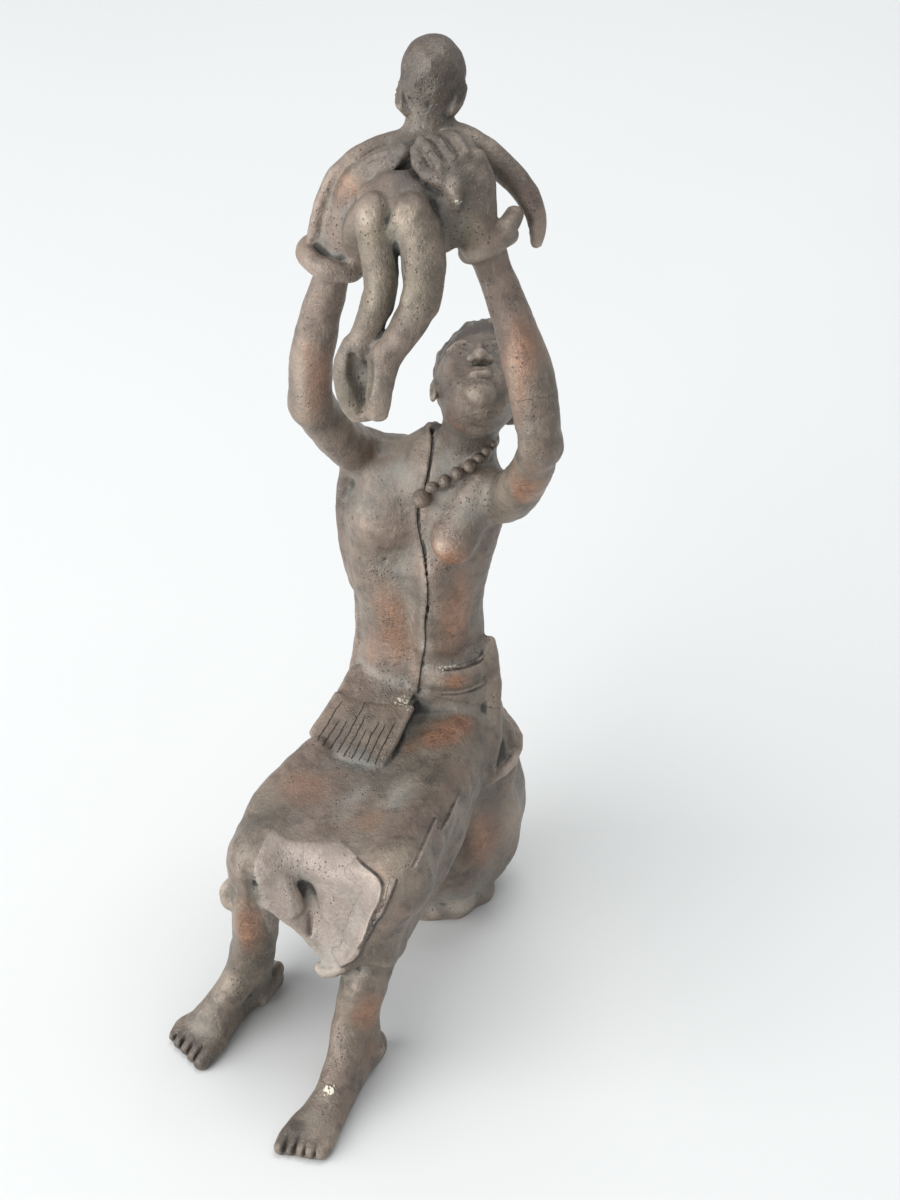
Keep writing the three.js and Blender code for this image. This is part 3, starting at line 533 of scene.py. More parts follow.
wax.add(ring([-4, 5, 137.5], [25.4, 18.8], (6, 2.4)), 1.2)
for scratch in ((144.4, 27.6, 21), (130.6, 29, 22.6)):
    places = round_waist(*scratch, np.linspace(0.3, 1.9, 7))
    wax.carve(limb([[*place, 0.5, 0.8] for place in places], (0, 0, 1)), 0.9)
wax.add(limb([
    [21.4, 10, 148, 2.4], [23.4, 8.4, 139, 3.2], [24.4, 8, 128, 3.4], [26, 5, 114, 3.4],
    [29, -2, 102, 3.4], [31, -12, 95, 3],
]), 4)
wax.add(limb([[29, 12, 98, 3.6], [32, 9, 90, 4], [34, 4, 82, 3]]), 4)
wax.add(ring([-29.6, -31.5, 354], [10.4, 9.3], (4.6, 4.3), (0.2, 0.05, 1)), 1.2)
wax.add(egg([-29.6, -31.5, 355.4], [10, 9, 4.6]), 1.6)
wax.add(ring([32.5, -21, 369.5], [9, 9], (3.6, 3.4), (-0.62, 0.2, 1)), 1.4)
wax.add(limb([
    [30, -31.5, 371, 3], [35.5, -29, 374.5, 3.8], [40, -22, 378.6, 4], [40, -14, 380.5, 3.4],
]), 1)


# Her head lies far back and looks up at the child. The face is a plain, calm one; the hair is
# combed back to a low bun.
HEAD = np.array([14.5, 11, 281])
crown = unit([-0.42, 0.9, 0.12])
facing = np.array([0.1, -0.2, 0.97])
facing = unit(facing - np.dot(facing, crown) * crown)
to_left = np.cross(crown, facing)


def on_head(up, out, left=0):
    return HEAD + up * crown + out * facing + left * to_left


wax.add(egg(on_head(3, -1), [18, 24, 20], to_left, crown), 5)
wax.add(egg(on_head(-11, 7), [14, 14, 12], to_left, crown), 4)
wax.add(limb([
    [*on_head(0, 15), 12, 4], [*on_head(-9, 15), 11.5, 4], [*on_head(-17, 14), 9, 4],
], to_left), 4)
wax.add(limb([
    [*on_head(4, 18.5), 1.8, 2], [*on_head(-2, 20.5), 2, 2.4], [*on_head(-7.5, 23), 2.9, 2.8],
], to_left), 1.8)
wax.add(egg(on_head(-22, 14.5), [6, 4.5, 5], to_left, crown), 3)
for side in (-1, 1):
    wax.add(egg(on_head(-8, 21.3, 3.3 * side), [2.1, 1.8, 1.9], to_left, crown), 1)
    wax.add(egg(on_head(-7, 14, 10 * side), [4.5, 5, 4], to_left, crown), 4)
    wax.carve(egg(on_head(0.5, 20.5, 7.6 * side), [4.6, 2.6, 3], to_left, crown), 2.5)
    wax.add(egg(on_head(0.5, 16.6, 7.6 * side), [4, 2.5, 2.6], to_left, crown), 0.8)
    wax.add(limb([
        [*on_head(5.2, 18, 2.6 * side), 1.2], [*on_head(6.2, 18.2, 7.5 * side), 1.4],
        [*on_head(4.6, 15.4, 12.6 * side), 1],
    ]), 2.2)
    wax.carve(limb([
        [*on_head(0, 19.5, 3.9 * side), 0.3], [*on_head(-0.7, 19.9, 7.6 * side), 0.55],
        [*on_head(0, 18.2, 11.2 * side), 0.3],
    ]), 0.9)
    ear = on_head(-2, -0.5, 18.6 * side)
    tilt = unit(to_left * side + 0.35 * facing)
    wax.add(egg(ear, [2, 6.6, 4.2], tilt, crown), 1.5)
    wax.carve(egg(ear + 2 * tilt, [1.5, 4.2, 2.3], tilt, crown), 1.2)
for height, wide, deep in ((-13.2, 5.6, 1.5), (-16, 5, 1.7)):
    wax.add(limb([
        [*on_head(height - 0.3, 17.4, -wide), 0.7], [*on_head(height, 19.6, -2.4), deep],
        [*on_head(height - 0.3, 19.9, 0), deep], [*on_head(height, 19.6, 2.4), deep],
        [*on_head(height - 0.3, 17.4, wide), 0.7],
    ], crown), 1.2)
wax.carve(limb([
    [*on_head(-14.6, 18.4, -6), 0.3], [*on_head(-14.5, 21.3, 0), 0.5], [*on_head(-14.6, 18.4, 6), 0.3],
]), 0.8)
wax.add(egg(on_head(12.6, -4), [18.8, 21, 18], to_left, crown), 1.2)
wax.add(egg(on_head(10, -14), [14, 13, 12], to_left, crown), 2)
wax.add(egg([10.5, 27, 289], [14, 12, 13.5]), 5)
wax.add(limb([[22, 20, 270, 8], [24.6, 21.6, 266, 7]]), 1.6)


# The child lies belly down over her hands, its head up and its bare legs hanging, bent at the
# knees. Its head is cut in long flats with a knife. Part of the one casting.
CHILD_ACROSS = np.array([0.906, 0.423, 0])
CHILD_BACK = np.cross(CHILD_ACROSS, [0, 0, 1])
CHILD_HEAD = np.array([-1.5, 2, 424.5])
CHILD_HEAD_SIZES = np.array([12.5, 13.9, 13])
BLADE = 6  # half the thickness of a knife's cut


def knife(place, normal, wide, tall):
    """The nearly flat cut of a knife, through `place` and square to `normal`"""
    normal = unit(normal)
    side = unit(np.cross([0, 0, 1], normal))
    return egg(np.array(place) + BLADE * normal, [wide, tall, BLADE], side, np.cross(normal, side))


wax.add(limb([
    [4, -44, 384, 13, 12], [2, -30, 389, 13, 11.5], [1, -14, 395, 13.5, 10.5], [0, -6, 397, 12, 9.5],
], CHILD_ACROSS), 4)
wax.add(limb([
    [0.6, -6, 402, 9.4, 8.6], [-0.4, -3.4, 409, 9, 8.2], [-1, 0, 417, 9, 8.8],
], CHILD_ACROSS), 3)
wax.add(egg(CHILD_HEAD, CHILD_HEAD_SIZES, CHILD_ACROSS), 3)
wax.add(egg([-2, 2, 417], [10.4, 7, 11], CHILD_ACROSS), 4)
wax.add(limb([
    [-10.4, -7, 425, 1.3], [-12.8, -8.6, 420.6, 2.6], [-11, -9.6, 416, 2.4], [-7, -9.4, 411.5, 2],
]), 1.4)
wax.add(limb([
    [13.2, 2.4, 428.4, 1.2], [13.4, 1.6, 424, 2.3], [12, -0.8, 418.5, 2.4], [9, -3.8, 412, 1.8],
]), 1.2)
wax.carve(limb([[9.6, -2.2, 427, 0.9], [10.8, -4.4, 421.6, 1.5], [9, -6.2, 415, 1]]), 0.9)
wax.carve(limb([[-7.4, -9.4, 424, 0.7], [-8.8, -11.4, 419, 1.1], [-7.4, -11.6, 414, 0.7]]), 0.9)
for turn, rise in ((-62, 14), (-27, 24), (-9, 8), (14, 20), (38, 10), (66, 22)):
    turn, rise = math.radians(turn), math.radians(rise)
    away = math.cos(turn) * CHILD_BACK + math.sin(turn) * CHILD_ACROSS
    normal = unit(math.cos(rise) * away + [0, 0, math.sin(rise)])
    in_axes = np.array([normal @ CHILD_ACROSS, normal[2], normal @ CHILD_BACK])
    reach = 1 / np.linalg.norm(in_axes / CHILD_HEAD_SIZES) - 1.1
    wax.carve(knife(CHILD_HEAD + reach * normal, normal, 18, 26), 0.35)
face = CHILD_HEAD - 12 * CHILD_BACK
for side in (-1, 1):
    socket = face + 4 * side * CHILD_ACROSS + [0, 0, 1]
    wax.carve(egg(socket, [2.6, 1.8, 2], CHILD_ACROSS), 1.5)
    wax.add(egg(socket + 1.6 * CHILD_BACK, [2.2, 1.5, 1.6], CHILD_ACROSS), 0.6)
wax.add(limb([
    [*(face - 0.4 * CHILD_BACK + [0, 0, 1]), 1], [*(face - CHILD_BACK - [0, 0, 4]), 1.7],
]), 1.5)
wax.add(egg(face + CHILD_BACK - [0, 0, 8], [3, 1.3, 1.6], CHILD_ACROSS), 1.2)
# its hips and their ledge over the square buttocks, with a deep cleft
wax.add(limb([[-7, -41, 390.5, 6], [2.5, -38, 392.5, 7.5], [12, -34, 391.5, 7]]), 4)
for place, sizes in (([-1.1, -50.8, 389.6], [7.4, 8.6, 8]), ([11.6, -46, 390], [8.2, 8.8, 8.2])):
    wax.add(egg(place, sizes, CHILD_ACROSS), 2.5)
    wax.carve(knife(np.array(place) + [1.4, -6.6, 3.4], [0.22, -0.82, 0.52], 7, 5), 0.8)
wax.carve(limb([
    [6.4, -50, 398, 0.4, 1.4], [6.2, -55, 393, 0.9, 2.6], [5.6, -57, 386, 1.1, 3.2],
    [8, -57.5, 379, 1.2, 3.2],
]), 1.2)
# its left leg, nearer to her right side, and its right leg, which bends in towards it
wax.add(limb([
    [0, -52, 384, 7.4], [3.3, -56, 374, 7], [5, -59, 364, 6.5], [4.4, -60.5, 357, 6],
], CHILD_ACROSS), 2)
wax.add(limb([[4.4, -60.5, 358, 6.1], [1.8, -63.4, 348, 5.6], [-1.7, -66, 339, 5.2]]), 1.4)
wax.add(limb([
    [15.5, -47, 384, 8.6], [19.4, -51.4, 375.4, 8.6], [21.6, -56, 366.7, 7.7], [21, -59, 360, 7.1],
]), 2)
wax.add(limb([[21.2, -59, 361, 7.1], [16.8, -62.2, 350, 6.6], [11.9, -64.4, 341.5, 6]]), 1.4)
wax.carve(limb([[13.5, -62.5, 361, 0.5], [18, -66.5, 362, 0.8], [22, -66.5, 363.5, 0.5]]), 1.6)
# its feet hang soles out, the toes together, with a dark hollow between them
wax.add(limb([
    [-2.6, -66.8, 340, 5.2, 5], [-4.8, -69, 332, 5.6, 4.4], [-4.4, -70.6, 324.5, 5.4, 4],
    [-2.2, -71.4, 317.5, 5, 3.6], [0.6, -71.4, 313.4, 4.6, 3.2],
]), 1.4)
wax.add(limb([
    [10.6, -65.6, 341, 6.6, 5.6], [9.6, -67.8, 335, 6.4, 5], [9.3, -69.6, 328.3, 5.6, 4.4],
    [9.3, -71.2, 321.4, 5, 4], [8.8, -71.6, 316.8, 4.6, 3.6],
]), 1.4)
wax.add(limb([[1, -63.5, 336, 4, 3], [1.6, -66, 324, 4, 3], [3.4, -70, 314.6, 5, 4]]), 2)
wax.carve(knife([6.6, -72, 328], [-0.6, -0.76, 0.22], 5.5, 18), 0.4)
wax.carve(limb([
    [-1.6, -71, 339, 1, 2.4], [0.4, -72.6, 331, 3, 4.6], [2.2, -74, 323, 2.2, 4.6],
    [3.2, -75, 316, 0.7, 2.4],
]), 1.2)
for toe in range(5):
    wax.carve(limb([[-6.4 + 2.1 * toe, -74.4, 312.6, 0.3], [-5.6 + 2.1 * toe, -75.4, 309.6, 0.5]]), 0.6)
    wax.carve(limb([[4.6 + 2 * toe, -75, 316, 0.3], [5 + 2 * toe, -75.4, 312.8, 0.5]]), 0.6)
# its right arm, which hangs free and ends in a bare point, and its left arm, down to her right wrist
wax.add(limb([
    [3, -5, 398, 7.4], [12, -3.4, 400.5, 6.6], [20.6, -3.2, 398.4, 6], [31, -3, 392, 5.4],
    [39, -3.4, 385.4, 5], [44.4, -4.4, 378, 4], [46.4, -6.4, 370.4, 3.2], [46.4, -7.2, 366.6, 2.4],
]), 3)
wax.add(limb([
    [-6, -8, 397, 6.5], [-16, -16, 396.5, 5.2], [-22.8, -22, 394.5, 4.2], [-29.6, -26, 388, 3],
    [-33.2, -28.6, 381, 2.6], [-35.4, -31, 372.6, 2.5], [-36.8, -33, 362, 2.6],
]), 2)


# Her hands hold the child from both sides: the right one a flat mitt, its fingers together over
# a dark hollow, and the left one bent, four fingers over the back and a wrinkled thumb below.
wax.add(limb([
    [-26, -31.6, 357, 6, 6], [-25.2, -31, 365, 5.6, 5.6], [-24.8, -29.8, 374, 5.6, 5],
    [-21.6, -29, 384, 6.2, 4.8], [-14.4, -29, 392.6, 6.8, 4.6], [-5.8, -28, 398.8, 6.6, 4.2],
    [-0.4, -26.4, 402.4, 4.6, 3.2],
], (0.6, -0.2, -0.76)), 2)
for groove in (
    [[-12, -33.8, 402, 0.25], [-5.4, -31.6, 405.4, 0.5], [1.6, -28.6, 407, 0.4]],
    [[-13, -35.2, 398.4, 0.25], [-6, -34, 402.4, 0.5], [1.8, -30.4, 405, 0.4]],
    [[-12, -36, 394.6, 0.25], [-4.6, -35.2, 399.4, 0.5], [1.6, -32, 402.6, 0.4]],
):
    wax.carve(limb(groove), 1)
wax.add(limb([[-30, -22, 384, 5], [-31, -26, 374, 5], [-31, -28, 362, 5]]), 4)
wax.carve(limb([
    [-9, -36, 391, 1.4, 2], [-1.6, -33.4, 396, 2.2, 3], [2.4, -29.4, 401, 2, 3], [4, -27, 404.4, 1, 2],
]), 1.6)
wax.add(limb([[-18, -30, 360, 7], [-16, -34, 371, 6.5], [-10, -38, 382, 6]]), 4)
wax.add(limb([
    [33, -22, 366, 6.4, 6], [31, -27, 375, 7.4, 6.5], [30, -26.4, 388, 7.4, 6.4],
    [28.4, -24.8, 397.6, 7.6, 5.6], [24, -23.4, 403.4, 8, 4.4],
], CHILD_ACROSS), 3)
wax.add(limb([[17, -33, 376, 7.4], [20, -32, 388, 7.4], [21.6, -29, 396, 7]]), 4)
FINGERS = (
    [[5.1, -27.6, 406.6, 2.2], [8.4, -32.4, 404.4, 2.5], [12.8, -34.8, 401.2, 2.7]],
    [[6.2, -24.8, 408.8, 2.5], [11.4, -28.8, 408, 3], [17.3, -31.6, 404.6, 3.2]],
    [[9, -21.6, 409.4, 2.3], [14.2, -25, 408.9, 2.8], [20.4, -28.4, 405.8, 3.2]],
    [[11.8, -17, 409.8, 2.3], [17.3, -20, 409.5, 2.8], [23.5, -24.4, 407, 3.2]],
    [[15.5, -13.4, 408.6, 2.1], [20.4, -16.8, 407.6, 2.6], [25.7, -21.2, 405.2, 3]],
)
for joints in FINGERS:
    wax.add(limb(joints), 1.1)
wax.carve(limb([[16.6, -34.8, 408, 0.3], [17.6, -33.4, 408.8, 0.8], [18.2, -31.4, 409.6, 0.3]]), 0.7)
wax.carve(limb([[22.4, -28.4, 410.4, 0.3], [23, -27, 411, 0.8], [23.2, -25, 411.4, 0.3]]), 0.7)
wax.add(limb([[20.4, -27.6, 401.4, 6], [24.4, -28.4, 396.4, 6.4], [26, -28.6, 389, 6]]), 2)
wax.carve(knife([28.6, -31.6, 401.5], [0.35, -0.72, 0.6], 6, 9), 0.7)
wax.add(limb([[13.4, -34, 401, 2.8], [18, -35, 400.8, 3.6], [21, -34.6, 398.4, 3.2]]), 1)
wax.add(limb([[21.3, -33, 400, 2.8], [24.4, -35, 397.4, 3.7], [25.2, -35.2, 392.2, 2.8]]), 1)
for wrinkle in range(5):
    start = np.array([16.6 + 2 * wrinkle, -37.8, 403.4 - 1.4 * wrinkle])
    wax.carve(limb([
        [*start, 0.3], [*(start + [0.8, -0.8, -2.4]), 0.6], [*(start + [0.9, 0, -5]), 0.3],
    ]), 0.8)

# the grooves between the fingers of her right hand
for line in (
    [[-15, -30, 400, 0.5], [-11, -29, 403.4, 1], [-6, -28, 405.6, 1], [-2, -26.6, 407, 0.6]],
    [[-16, -32, 397, 0.5], [-11, -31, 401, 1], [-5, -30, 403.6, 1], [-1, -29, 405.4, 0.6]],
    [[-18, -33, 393, 0.5], [-12, -33, 398, 1], [-6, -32, 401.4, 1], [-2, -30.6, 403, 0.6]],
):
    wax.carve(limb(line, steps=3), 0.7)
# and those between the four fingers and the thumb of her left hand, on the side that shows
SEEN_FROM = np.array([0.333, -0.714, 0.616])  # the way from her to the camera
for joints, following in zip(FINGERS, FINGERS[1:]):
    middle = (np.array(joints)[:, :3] + np.array(following)[:, :3]) / 2 + 2.3 * SEEN_FROM
    wax.carve(limb([[*place, girth] for place, girth in zip(middle, (0.7, 1.1, 0.5))]), 0.6)


# The string of round beads runs from the sash's edge, where the biggest bead hangs, round to the
# nape. They are cast on, so a thin cord of wax is under them.
BEAD_STRING = [
    [-1.8, -8, 234.6], [4, -8.6, 239.6], [9.4, -6.6, 243], [14, -2.4, 246.6], [18.4, 2.6, 250],
    [21, 8, 252.4], [21, 14, 253], [16, 21, 251.5],
]
wax.add(limb([[x, y, z, 1.4] for x, y, z in BEAD_STRING]), 2)
wax.add(limb([[16, 1, 249, 2.2], [19, 6, 252, 2.8], [20, 10, 254, 2.6]]), 2)


# The cloth's edges: thin steps in the skin, where one layer lies over another, set where they are
# seen from the front. Part of the one casting.
def beside(points, path):
    """How far points lie to the right of a path seen from the front, and where along it, 0 to 1"""
    right = unit(np.cross([0, 0, 1], SEEN_FROM))
    flat = np.stack([right, np.cross(SEEN_FROM, right)], axis=1)
    spots, corners = points @ flat, path @ flat
    nearest = np.full(len(points), FAR)
    signed = np.full(len(points), FAR)
    along = np.zeros(len(points))
    for i, (start, end) in enumerate(zip(corners[:-1], corners[1:])):
        run = end - start
        share = np.clip((spots - start) @ run / (run @ run), 0, 1)
        off = spots - start - share[:, None] * run
        away = np.hypot(off[:, 0], off[:, 1])
        side = np.where(run[1] * off[:, 0] - run[0] * off[:, 1] > 0, 1, -1)
        closer = away < nearest
        nearest = np.where(closer, away, nearest)
        signed = np.where(closer, away * side, signed)
        along = np.where(closer, (i + share) / (len(corners) - 1), along)
    return signed, along


def before_or_behind(points, path, along):
    """How deep points lie from the place beside them on the path, seen from the front"""
    return np.abs((points - path[(along * (len(path) - 1)).astype(int)]) @ SEEN_FROM)


def eased(value, low, high):
    """0 at `low`, 1 at `high`, and smooth between"""
    share = np.clip((value - low) / (high - low), 0, 1)
    return share * share * (3 - 2 * share)


EDGE_SOFTNESS = 0.45  # half the width of a ledge's slope


def ledge(line, height, reach, ends=0.12):
    """Raises the skin to the left of a line, going upwards; it sinks back at `reach` from it"""
    path = smooth_path(line, 4 * len(line))
    margin = reach + 4
    first, last, _ = wax.window(path.min(axis=0) - margin, path.max(axis=0) + margin)
    part = tuple(slice(a, b) for a, b in zip(first, last))
    near = np.abs(wax.field[part]) < 4 * CELL
    points = wax.low + CELL * (first + np.stack(np.nonzero(near), axis=1))
    side, along = beside(points, path)
    rise = eased(-side, -EDGE_SOFTNESS, EDGE_SOFTNESS) * eased(side, -reach, -0.3 * reach)
    rise *= eased(np.minimum(along, 1 - along), 0, ends)
    rise *= eased(before_or_behind(points, path, along), 9, 6)
    wax.field[part][near] -= (height * rise).astype(np.float32)


# The worked skin of the wax: soft lumps from fingers, strokes of a comb and knife, hair strokes,
# and pits left by the casting.
skin_seed = np.random.default_rng(11)
LATTICE = 32  # points along each side of the block of chance heights
FINE_PITS = 130


def between(grid, base, part):
    """What a grid says `part` of the way from its points `base` to the next ones"""
    total = np.zeros(len(part), part.dtype)
    for corner in range(8):
        bits = [(corner >> axis) & 1 for axis in range(3)]
        share = np.ones(len(part), part.dtype)
        for axis, bit in enumerate(bits):
            share *= part[:, axis] if bit else 1 - part[:, axis]
        i, j, k = ((base[:, axis] + bits[axis]) % grid.shape[axis] for axis in range(3))
        total += share * grid[i, j, k]
    return total


def lumps(points, length, seed):
    """Smooth bumps between -1 and 1, about `length` apart, the same for the same seed"""
    lattice = np.random.default_rng(seed).uniform(-1, 1, (LATTICE,) * 3).astype(np.float32)
    spots = points / length
    base = np.floor(spots).astype(int)
    part = (spots - base).astype(np.float32)
    return between(lattice, base, part * part * (3 - 2 * part))


def near_spot(points, centre, reach):
    """1 at a spot, falling smoothly to 0 at `reach` from it"""
    away = np.linalg.norm((points - centre) / reach, axis=1)
    return np.clip(1 - away, 0, 1) ** 2 * (1 + 2 * np.clip(away, 0, 1))


def hair_share(points):
    """1 where the skin is her hair: the cap behind the hairline and the bun"""
    in_hair = np.clip((1 - np.linalg.norm((points - on_head(12, -10)) / 33, axis=1)) * 8, 0, 1)
    out, up = (points - HEAD) @ facing, (points - HEAD) @ crown
    behind = np.clip(-out / 4 - 1, 0, 1)
    return in_hair * np.clip((up - 1.4 - np.maximum(out, 0) * 0.5) / 2 + behind, 0, 1)


def worked(points):
    """How high the worked skin stands at each point"""
    height = 0.36 * lumps(points, 9, 1) + 0.22 * lumps(points, 4.5, 2) + 0.1 * lumps(points, 2.2, 3)
    strokes = lumps(points * [1, 1, 0.22], 2.0, 4)
    height += 0.16 * strokes * near_spot(points, [0, -112, 95], [60, 40, 60])
    left = (points - HEAD) @ to_left
    combed = 0.25 * np.sin(left * 1.7 + 3 * lumps(points, 8, 5)) + 0.9 * lumps(points, 4, 6)
    return height + hair_share(points) * combed


wax.work_skin(3 * CELL, worked)

# the front panel's edge, the layer under it, the folds at its side and the hem round the left leg
PANEL_EDGE = [
    [20, -124.4, 76], [23, -123.6, 82], [25, -123, 88], [26, -122, 93], [28, -122, 100], [31, -121, 109],
    [31, -119, 116], [28, -117, 118], [19, -113, 118], [12, -109, 118],
]
ledge(PANEL_EDGE, 1.6, 9)
UNDER_EDGE = [
    [10, -124.6, 61], [17, -125, 68], [22, -125, 75], [24, -124, 82], [27, -123, 89], [29, -122, 95],
    [32, -121, 101], [34.4, -120.6, 109], [36, -118, 115], [36.4, -114, 120],
]
ledge(UNDER_EDGE, 1.8, 6)
FOLDS = [
    [[34, -73, 118], [37, -92, 119], [40, -110, 119.6]],
    [[34, -50, 112], [37, -69, 113], [38, -78, 114]],
]
for line in FOLDS:
    ledge(line, 1.4, 6, ends=0.4)
ledge([[36, -108, 62], [31, -118, 65], [25, -122, 68], [19, -125.6, 66]], -1.2, 6)
LAP_EDGE = [[-33, -104, 116], [-17, -112, 117], [-6, -109, 117], [10, -103, 118]]
ledge(LAP_EDGE[::-1], 0.5, 6)
ledge(SEAM[9:][::-1], 0.9, 7)

PITS = [  # the larger pits of the casting: place and girth
    ([-17.8, -14.6, 198.0], 1.0), ([-25.5, -129, 104], 1.3), ([-17.1, -122, 108], 0.6),
    ([12, -10, 252], 0.8), ([-24, -9, 228], 0.6), ([-8, -12, 240], 0.7), ([3, -12, 424], 0.7),
    ([-6, -10, 417], 0.8), ([2, -10, 416], 0.7), ([6, -8, 428], 0.7), ([33, -4, 390], 0.9),
    ([24, -6, 397], 0.8), ([20, -8, 400], 0.8), ([44, -8, 372], 0.8), ([30, -110, 96], 0.6),
]
for place, girth in PITS:
    wax.carve(egg(place, [1.2 * girth, 1.2 * girth, 1.4 * girth]), 0.4)
near_skin = np.stack(np.nonzero(np.abs(wax.field) < 0.5 * CELL), axis=1)
for index in skin_seed.choice(len(near_skin), FINE_PITS, replace=False):
    place = wax.low + CELL * near_skin[index] + skin_seed.uniform(-0.4, 0.4, 3)
    girth = skin_seed.uniform(0.3, 0.6)
    wax.carve(egg(place, [girth, girth, girth * skin_seed.uniform(0.8, 1.6)]), 0.5)

# the cast is ground flat where it stands on the floor
heights = wax.low[2] + CELL * np.arange(wax.size[2])
wax.field = np.maximum(wax.field, -heights.astype(np.float32))

shell = openvdb.FloatGrid(3 * CELL)
shell.copyFromArray(np.clip(wax.field, -3 * CELL, 3 * CELL))
corners, faces = shell.convertToQuads(0)
INSET = 0.02  # millimetres that the skin stays inside the solid's box
lowest, highest = (np.array(corner) / MM for corner in cad_box)
corners = np.clip(corners * CELL + wax.low, lowest + INSET, highest - INSET)

casting_mesh = bpy.data.meshes.new("mother_and_child_casting")
casting_mesh.vertices.add(len(corners))
casting_mesh.vertices.foreach_set("co", (corners * MM).astype(np.float32).ravel())
casting_mesh.loops.add(faces.size)
casting_mesh.loops.foreach_set("vertex_index", faces.astype(np.int32).ravel())
casting_mesh.polygons.add(len(faces))
casting_mesh.polygons.foreach_set("loop_start", np.arange(0, faces.size, 4, dtype=np.int32))
casting_mesh.update(calc_edges=True)
casting_mesh.validate()
casting = bpy.data.objects.new("mother_and_child_casting", casting_mesh)
bpy.context.scene.collection.objects.link(casting)
CASTING_FACES = 196000  # triangles
thinner = casting.modifiers.new("thinner", "DECIMATE")
thinner.ratio = CASTING_FACES / (2 * len(faces))


def as_plain_mesh(thing):
    """The object as its modifiers leave it, as a plain mesh with none of them"""
    evaluated = thing.evaluated_get(bpy.context.evaluated_depsgraph_get())
    result = bpy.data.meshes.new_from_object(evaluated)
    result.name = thing.name
    thing.modifiers.clear()
    thing.data = result
    return result


casting_mesh = as_plain_mesh(casting)
casting_mesh.polygons.foreach_set("use_smooth", np.ones(len(casting_mesh.polygons), bool))


# Where hands have rubbed the bronze and where dust and green have gathered. Each vertex of the
# casting keeps how deep it lies in a hollow and how far it stands out; the finish reads it and
# paints shade into the hollows and a highlight on what stands out.
def softened(values, radius):
    """A grid blurred twice along each axis by a running mean of 2 * radius + 1 cells"""
    for _ in range(2):
        for axis in range(3):
            pad = [(0, 0)] * 3
            pad[axis] = (radius + 1, radius)
            sums = np.cumsum(np.pad(values, pad, mode="edge"), axis=axis, dtype=np.float32)
            upper = np.take(sums, range(2 * radius + 1, sums.shape[axis]), axis=axis)
            lower = np.take(sums, range(0, sums.shape[axis] - 2 * radius - 1), axis=axis)
            values = (upper - lower) / (2 * radius + 1)
    return values


solid = np.clip(0.5 - wax.field[::2, ::2, ::2] / (2 * CELL), 0, 1)
close_by, further = softened(solid, 1), softened(solid, 3)


def read_grid(grid, points):
    """What a grid of every second point of the wax says at the places `points`"""
    spots = (points - wax.low) / (2 * CELL)
    base = np.clip(np.floor(spots).astype(int), 0, np.array(grid.shape) - 2)
    return between(grid, base, spots - base)


def keep(name, values):
    """Keeps a value from 0 to 1 with each vertex of the casting, for the finish"""
    attribute = casting_mesh.attributes.new(name, "FLOAT", "POINT")
    attribute.data.foreach_set("value", np.clip(values, 0, 1).astype(np.float32))


# where hands have polished it to copper: centre and reach in millimetres, and how strong
RUBS = [
    ([14, -18, 211], [15, 15, 17], 1.3), ([52, -20, 262], [14, 16, 26], 1.1),
    ([58, -27, 287], [11, 15, 22], 0.7), ([50, -30, 322], [13, 15, 42], 0.7),
    ([-36, -38, 300], [12, 14, 40], 0.55), ([-24, -4, 246], [16, 14, 14], 0.4),
    ([-14, -17, 164], [20, 14, 34], 0.6), ([-26, -14, 150], [12, 12, 24], 0.4),
    ([14, -9, 174], [15, 15, 36], 0.95), ([15, -12, 138], [10, 10, 7], 1.1),
    ([5, -40, 116], [13, 12, 9], 0.8), ([12, -31, 118], [13, 13, 9], 1.0),
    ([16, -24, 119], [12, 12, 9], 1.0), ([20, -16, 119], [12, 12, 9], 0.9),
    ([30, -60, 114], [12, 50, 16], 0.35), ([-24, -84, 120], [20, 24, 12], 0.45),
    ([12, -90, 122], [16, 20, 10], 0.4), ([-46, -108, 100], [10, 16, 16], 0.4),
    ([-8, -20, 208], [9, 8, 14], 0.4), ([-31, -126, 70], [10, 14, 40], 0.9),
    ([-38, -118, 45], [10, 12, 20], 0.8), ([24, -122, 40], [12, 14, 20], 0.8),
    ([22, -126, 16], [10, 14, 12], 0.5), ([36, -28, 60], [14, 26, 30], 1.0),
    ([46, -6, 60], [14, 18, 26], 0.3), ([28, -114, 118], [9, 12, 8], 0.3),
    ([-22, -34, 387], [15, 13, 14], 0.5), ([-40, -38, 353], [9, 8, 7], 0.7),
    ([12, -6, 270], [10, 10, 9], 0.6), ([-8, -48, 374], [6, 10, 14], 0.5),
    ([-4, -62, 362], [6, 10, 16], 0.4),
]
# and in the same way where dust lies, where it is olive, dark with patina and painted shade,
# worn pale and painted light, and spotted with cream
DUSTY = [
    ([-16, -6, 236], [20, 22, 20], 0.9), ([-26, -10, 226], [14, 12, 12], 0.7),
    ([6, -6, 246], [14, 18, 14], 0.8), ([20, -8, 232], [11, 12, 13], 0.6),
    ([-12, -58, 120], [20, 10, 8], 0.9), ([-3, -80, 121], [12, 26, 8], 0.8),
    ([14, -74, 122], [15, 30, 8], 0.7), ([-12, -16, 194], [12, 10, 10], 0.6),
    ([2, -14, 150], [5, 8, 60], 0.7), ([2, -20, 131], [16, 10, 9], 0.6),
    ([6, -28, 402], [24, 20, 14], 0.7), ([-6, -30, 386], [14, 12, 16], 0.6),
    ([0, -124, 62], [20, 8, 18], 0.8), ([-26, -130, 102], [5, 6, 9], 0.8),
    ([24, -22, 14], [34, 34, 24], 1.2), ([-30, -20, 372], [12, 14, 18], 0.6),
    ([0, -68, 330], [12, 10, 22], 0.5), ([-50, -136, 8], [12, 14, 10], 0.8),
    ([17, -160, 8], [10, 16, 8], 0.4), ([2, -2, 414], [14, 14, 12], 0.5),
    ([-48, -92, 58], [8, 12, 10], 0.8), ([14, 2, 268], [22, 18, 14], 0.5),
    ([8, -104, 70], [18, 10, 16], 0.4),
]
